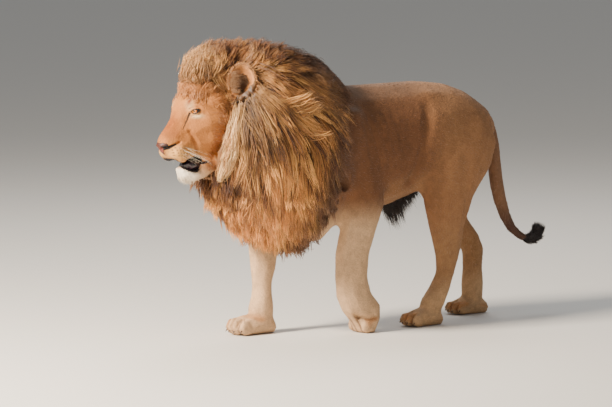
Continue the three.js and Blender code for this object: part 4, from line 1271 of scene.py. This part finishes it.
# --- Whiskers: long stiff pale hairs that grow from some of the dark roots on the pads of the upper
# lip, out to the side and back, and droop a little.
WHISKER_HALF = 0.0005
roots_now, tips_now = [], []
for side in (-1, 1):
    for j, (sx, sz) in enumerate(s for k, s in enumerate(SPOTS) if k % 7 > 1 and k % 3):
        root = hide_tree.find((sx, 0.055, sz))[0]
        root = np.array([root[0], root[1] * side, root[2]])
        reach = rng.uniform(0.06, 0.12)
        way = unit(np.array([0.55 + 0.02 * (j % 6), side * 0.75, -0.42 + rng.uniform(-0.15, 0.25)]))
        roots_now.append(root)
        tips_now.append(root + way * reach)
roots_now, tips_now = np.array(roots_now), np.array(tips_now)
t = np.linspace(0, 1, 6)[None, :, None]
line = roots_now[:, None] + t * (tips_now - roots_now)[:, None] + t ** 2 * np.array([0.020, 0, -0.014])
base = np.tile(np.array(linear("#f0e4cc")), (len(line), 1))
chart = filled(rolled_out(roots_now, (-1.12, 0, 0.84), (1, 0.8, 1)))
piece = tufts("whiskers", line + shift, np.full(len(line), WHISKER_HALF),
              np.tile([0.0, 0.0, 1.0], (len(line), 1)), base, root_to_tip(1, 1, 1, 6), chart)
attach(piece, "root")

# --- Cheek locks: pale gold beards that hang from under each ear to the corner of the jaw. Their
# hairs run down a rounded body round the middle line below, and gather towards their tips.
CHEEK_LOCKS, PER_CHEEK_LOCK = 118, 22
CHEEK = np.array([[-0.983, 0.130, 0.975], [-1.018, 0.134, 0.855], [-1.030, 0.128, 0.775],
                  [-1.042, 0.114, 0.705], [-1.062, 0.098, 0.650]])
CHEEK_DEEP = [0.026, 0.040, 0.046, 0.042, 0.016]     # half its size fore and aft
CHEEK_WIDE = [0.022, 0.034, 0.038, 0.030, 0.012]     # and half its thickness
for side, name in ((-1, "left"), (1, "right")):
    start = rng.random(CHEEK_LOCKS) ** 0.8 * 2.6
    turn = rng.uniform(0, 2 * math.pi, CHEEK_LOCKS)
    t = np.linspace(0, 1, STEPS + 1)
    s_at = np.minimum(start[:, None] + t * rng.uniform(1.3, 1.9, (CHEEK_LOCKS, 1)), 4)
    k = np.minimum(s_at.astype(int), 3)
    centre = CHEEK[k] + (s_at - k)[..., None] * (CHEEK[k + 1] - CHEEK[k])
    swell = 0.70 + 0.30 * t
    deep = np.interp(s_at, range(5), CHEEK_DEEP) * swell
    wide = np.interp(s_at, range(5), CHEEK_WIDE) * swell
    g = centre + np.stack([-deep * np.cos(turn)[:, None], wide * np.sin(turn)[:, None], 0 * deep], 2)
    g[..., 1] *= side
    face = np.stack([-np.cos(turn), side * np.sin(turn), 0 * turn], 1)
    line, half, face, lock = combed(g + shift, face, PER_CHEEK_LOCK, 0.008, 0.0017, 0.7)
    luck_now = np.clip(rng.random(CHEEK_LOCKS)[lock] + rng.normal(0, 0.12, len(lock)), 0, 1)
    base = np.tile(np.array(linear("#d09a5e")), (len(lock), 1))
    base = mixed(base, "#f0c891", ramp(luck_now, 0.35, 0.9))
    base = mixed(base, "#8a5a30", ramp(0.25 - luck_now, 0, 0.22))
    hair_piece("cheek_lock_" + name, line, half, face, base, "mane_cheek_" + name, (0.75, 1.1),
               CHEEK[2] * (1, side, 1))

# --- Short coat: small flat tufts that break the outline of the hide, lying back along the body,
# down the legs and away from the nose. They are shortest on the face and the feet.
OFF_FLOOR = 0.0018             # tufts under the paws lie flat on the floor


def coat_lie(p):
    """Which way the short coat lies at each place."""
    x, y, z = p.T
    legs = ramp(0.66 - z, 0, 0.2) * ramp(0.36 - x, -0.12, 0.0)
    way = np.stack([1 - 0.8 * legs, 0 * x, -0.35 - 0.75 * legs], 1)
    rump = ramp(x, 0.05, 0.30) * (1 - legs)
    way = way + rump[:, None] * np.array([-0.2, 0, -0.6])
    toes = ramp(0.09 - z, 0, 0.04)
    tail = ramp(x, 0.36, 0.41) * ramp(0.055 - np.abs(y), 0, 0.01)
    low = tail * ramp(0.42 - z, 0, 0.1)
    for share, turned in ((toes, (-0.8, 0, -0.45)), (tail, (0.2, 0, -1.0)), (low, (1.0, 0, -0.25))):
        way = way * (1 - share)[:, None] + share[:, None] * np.array(turned)
    head = ramp(-x, 0.96, 1.04) * ramp(z, 0.60, 0.64)
    cheek = ramp(x, -1.16, -1.06) * ramp(0.99 - z, 0, 0.08)
    brow = ramp(z, 0.95, 1.00)
    chin = ramp(-x, 1.12, 1.15) * ramp(0.70 - z, 0, 0.03)
    back = unit(p - np.array([-1.30, 0, 0.80])) + np.array([0.2, 0, -0.1]) + np.stack(
        [-0.6 * chin, 0 * x, 1.1 * brow - 0.75 * cheek - 1.2 * chin], 1)
    return unit(way * (1 - head)[:, None] + head[:, None] * back)


def of_head(p):
    """The head and its hair rolled out round the middle of the skull."""
    return rolled_out(p, (-1.12, 0, 0.84), (1, 0.8, 1))


def of_trunk(p):
    """The trunk rolled out round its middle."""
    return rolled_out(p, (-0.10, 0, 0.75), (0.55, 0.25, 0.28))


def of_legs(p):
    """Each of two legs rolled out round its own bone, the right one beside the left one."""
    x, y, z = p.T
    chart = np.empty((len(p), 2))
    for side in (-1, 1):
        own = y * side > 0
        rows = np.linspace(z[own].min(), z[own].max(), 12)
        bone = [x[own & (np.abs(z - row) < 0.04)].mean() for row in rows]
        turn = np.arctan2(y[own] - 0.11 * side, x[own] - np.interp(z[own], rows, bone))
        chart[own] = np.stack([turn + 6.4 * (side > 0), z[own]], 1)
    return chart


def flat_tufts(name, many, apart, keep, length, half, lift, unwrap, rings=3, tint=None):
    """Tufts over the chosen part of the hide, combed along the lie of the coat."""
    at, near = scattered(hide, points + shift, many, keep, apart)
    at = at - shift
    face = normals[near]
    way = coat_lie(at) + rng.normal(0, 0.12, (len(at), 3))
    way = unit(way - (way * face).sum(1)[:, None] * face)
    reach = length(at) * rng.uniform(0.7, 1.25, len(at))
    rise = lift(at) * rng.uniform(0.5, 1.5, len(at))
    t = np.linspace(0, 1, rings)
    line = (at[:, None] - 0.0015 * face[:, None] + way[:, None] * (reach[:, None] * t)[..., None]
            + face[:, None] * (rise[:, None] * np.sin(t * 1.9))[..., None])
    line[..., 2] = np.maximum(line[..., 2], OFF_FLOOR)
    thick = half(at) * rng.uniform(0.8, 1.2, len(at))
    base = markings(at, face)
    if tint:
        base = tint(at, base)
    base = base * rng.uniform(0.88, 1.10, (len(at), 1))
    piece = tufts(name, line + shift, thick, face, base, root_to_tip(0.90, 1.10, 1.12, rings),
                  filled(unwrap(at)))
    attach(piece, "root")


def tuft_length(p):
    """The length of a tuft: longest on the shoulder beside the mane, shortest on muzzle and feet."""
    x, _, z = p.T
    head = ramp(-x, 0.98, 1.06) * ramp(z, 0.60, 0.64)
    feet = ramp(0.25 - z, 0, 0.15)
    muzzle = ramp(-x, 1.16, 1.22)
    band = ramp(-x, 0.46, 0.56) * ramp(z, 0.55, 0.70) * (1 - head)
    return 0.018 - 0.007 * head - 0.007 * feet * (1 - head) - 0.005 * muzzle + 0.018 * band


def tuft_rise(p):
    """How far the tips of the tufts stand off the hide."""
    face = ramp(-p[:, 0], 1.02, 1.10) * ramp(p[:, 2], 0.60, 0.64)
    return 0.02 * tuft_length(p) + 0.0011 - 0.0003 * face


def tuft_half(p):
    """Half the thickness of a tuft, finer on the head."""
    x, _, z = p.T
    head = ramp(-x, 0.98, 1.06) * ramp(z, 0.60, 0.64)
    return 0.0013 - 0.0006 * head


# The mane covers part of the neck and chest, and no tuft grows under the paws
x, y, z = points.T
seen = 1 - ramp(-x, 0.61, 0.63) * (1 - ramp(-x, 1.02, 1.06)) * ramp(z, 0.50, 0.55)
seen *= ramp(z, 0.008, 0.012)
front = ((x < -0.25) & (z < 0.62)).astype(float)
back, high, out, share = ear_place(points)
on_ear = (share < 1.2) & (np.abs(out) < 0.05) & (high > -0.06)
head_part = ((x < -0.98) & (z > 0.6)) | on_ear
for name, many, apart, keep, slot, unwrap in (
        ("body", 24000, 0.0085, seen * (1 - front) * ((z > 0.5) | (x < -0.6)), "coat", of_trunk),
        ("hind_legs", 9000, 0.007, seen * (1 - front) * (z <= 0.5) * (x > -0.6), "coat", of_legs),
        ("forelegs", 9000, 0.007, seen * front * ~head_part, "pale_coat", of_legs),
        ("head", 13500, 0.0035, np.maximum(seen, on_ear) * head_part, "coat", of_head)):
    flat_tufts("coat_" + name, many, apart, keep, tuft_length, tuft_half, tuft_rise, unwrap)


# Longer hair that leads from the face into the mane: up the forehead and back over the temples
def lead_length(p):
    """The length of the hair that leads into the mane, longest at the top of the brow."""
    x, _, z = p.T
    brow = ramp(z, 0.965, 1.05)
    return 0.012 * ramp(0.75 - z, 0, 0.05) + 0.018 + 0.034 * brow + 0.026 * ramp(x, -1.13, -1.05) * (1 - brow)


def lead_tint(p, base):
    """The colour of the coat, turned towards that of the mane where the hair is long."""
    share = 0.5 * ramp(lead_length(p), 0.03, 0.05)
    return base + (mane_colour(p, rng.random(len(p))) - base) * share[:, None]


def lead_rise(p):
    """How far its tips stand off the hide."""
    return lead_length(p) * (0.04 + 0.22 * ramp(p[:, 2], 0.98, 1.03)) + 0.0016


forehead = ramp(z + 0.03 * ramp(0.065 - np.abs(y), 0, 0.02), 0.985, 1.01) * ramp(-x, 0.99, 1.01)
temples = ramp(x, -1.12, -1.08) * ramp(-x, 1.02, 1.04) * (z > 0.70)
chin = spread(points, np.array([-1.185, 0.015, 0.655]), np.array([0.030, 0.022, 0.012]))
lead = np.clip(forehead + temples + chin, 0, 1) * ~on_ear * (z > 0.6) * (x < -0.98)
flat_tufts("brow_and_temple_hair", 5600, 0.0045, lead, lead_length, lambda p: np.full(len(p), 0.0010),
           lead_rise, of_head, 5, lead_tint)

# --- Tail tuft and belly fringe: dark brown to black hair, thick at the end of the tail and
# hanging thinly from the middle of the belly.
TAIL_HAIRS, FRINGE_HAIRS = 1700, 900
TUFT_PATH = np.array([[0.600, 0.306], [0.625, 0.304], [0.650, 0.306], [0.670, 0.316], [0.680, 0.332]])
TUFT_RADIUS = 0.042
FRINGE = np.array([[-0.185, 0.515, 0.440], [-0.150, 0.522, 0.400], [-0.110, 0.532, 0.420],
                   [-0.060, 0.540, 0.480], [0.000, 0.555, 0.530]])    # x, root height, tip height


def dark_tuft(name, line, face, node, uv):
    """A piece of dark hair, paler towards its tips."""
    half = rng.uniform(0.0011, 0.0018, len(line))
    base = mixed(np.tile(np.array(linear("#2a1c17")), (len(line), 1)), "#120c0c", rng.random(len(line)))
    piece = tufts(name, line + shift, half, face, base, root_to_tip(0.8, 1.3, 1.5, line.shape[1]), uv)
    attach(piece, "root")
    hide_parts(node)


# Tail tuft: hair grows out of a path at the end of the tail and runs on along it
many = TAIL_HAIRS
s = rng.random(many) ** 0.7 * (len(TUFT_PATH) - 1)
k = np.minimum(s.astype(int), len(TUFT_PATH) - 2)
on = TUFT_PATH[k] + (s - k)[:, None] * (TUFT_PATH[k + 1] - TUFT_PATH[k])
ahead = unit(TUFT_PATH[k + 1] - TUFT_PATH[k])
turn = rng.uniform(0, 2 * math.pi, many)
out = np.stack([-ahead[:, 1] * np.sin(turn), np.cos(turn), ahead[:, 0] * np.sin(turn)], 1)
along = np.stack([ahead[:, 0], 0 * turn, ahead[:, 1]], 1)
t = np.linspace(0, 1, 5)[None, :, None]
share = (s / (len(TUFT_PATH) - 1))[:, None, None]
size = (rng.uniform(0.75, 1.05, many) * TUFT_RADIUS)[:, None, None] * np.sin(0.5 + 1.35 * share)
line = (np.stack([on[:, 0], 0 * turn, on[:, 1]], 1)[:, None] + 0.006 * out[:, None]
        + (size - 0.006) * np.sin(t * 1.5) * out[:, None] * (1 - 0.45 * share)
        + (0.024 + 0.012 * share) * t * along[:, None] + 0.002 * t ** 2 * rng.normal(0, 1, (many, 1, 3)))
dark_tuft("tail_tuft_hair", line, out, "tail_tuft",
          0.1 + 0.8 * np.stack([s / 4, turn / 6.2832], 1))

# Belly fringe: thin hair in a row along the middle, longest near its front
many = FRINGE_HAIRS
first, last = FRINGE[0, 0], FRINGE[-1, 0]
x0 = rng.uniform(first, last, many)
root = np.interp(x0, FRINGE[:, 0], FRINGE[:, 1])
tip = np.interp(x0, FRINGE[:, 0], FRINGE[:, 2])
y0 = rng.normal(0, 0.007, many)
drop = (root - tip + 0.03) * rng.uniform(0.6, 1.1, many)
line = np.stack([x0, y0, root + 0.02], 1)[:, None] + np.stack([
    (0.02 * t[..., 0] + 0.25 * drop[:, None] * t[..., 0]), 0.5 * y0[:, None] * t[..., 0],
    -drop[:, None] * t[..., 0]], 2) + 0.004 * t ** 2 * rng.normal(0, 1, (many, 1, 3))
dark_tuft("belly_fringe_hair", line, np.tile([0.0, 1.0, 0.0], (many, 1)), "belly_fringe",
          0.1 + 0.8 * np.stack([(x0 - first) / (last - first), (y0 + 0.03) / 0.06], 1))
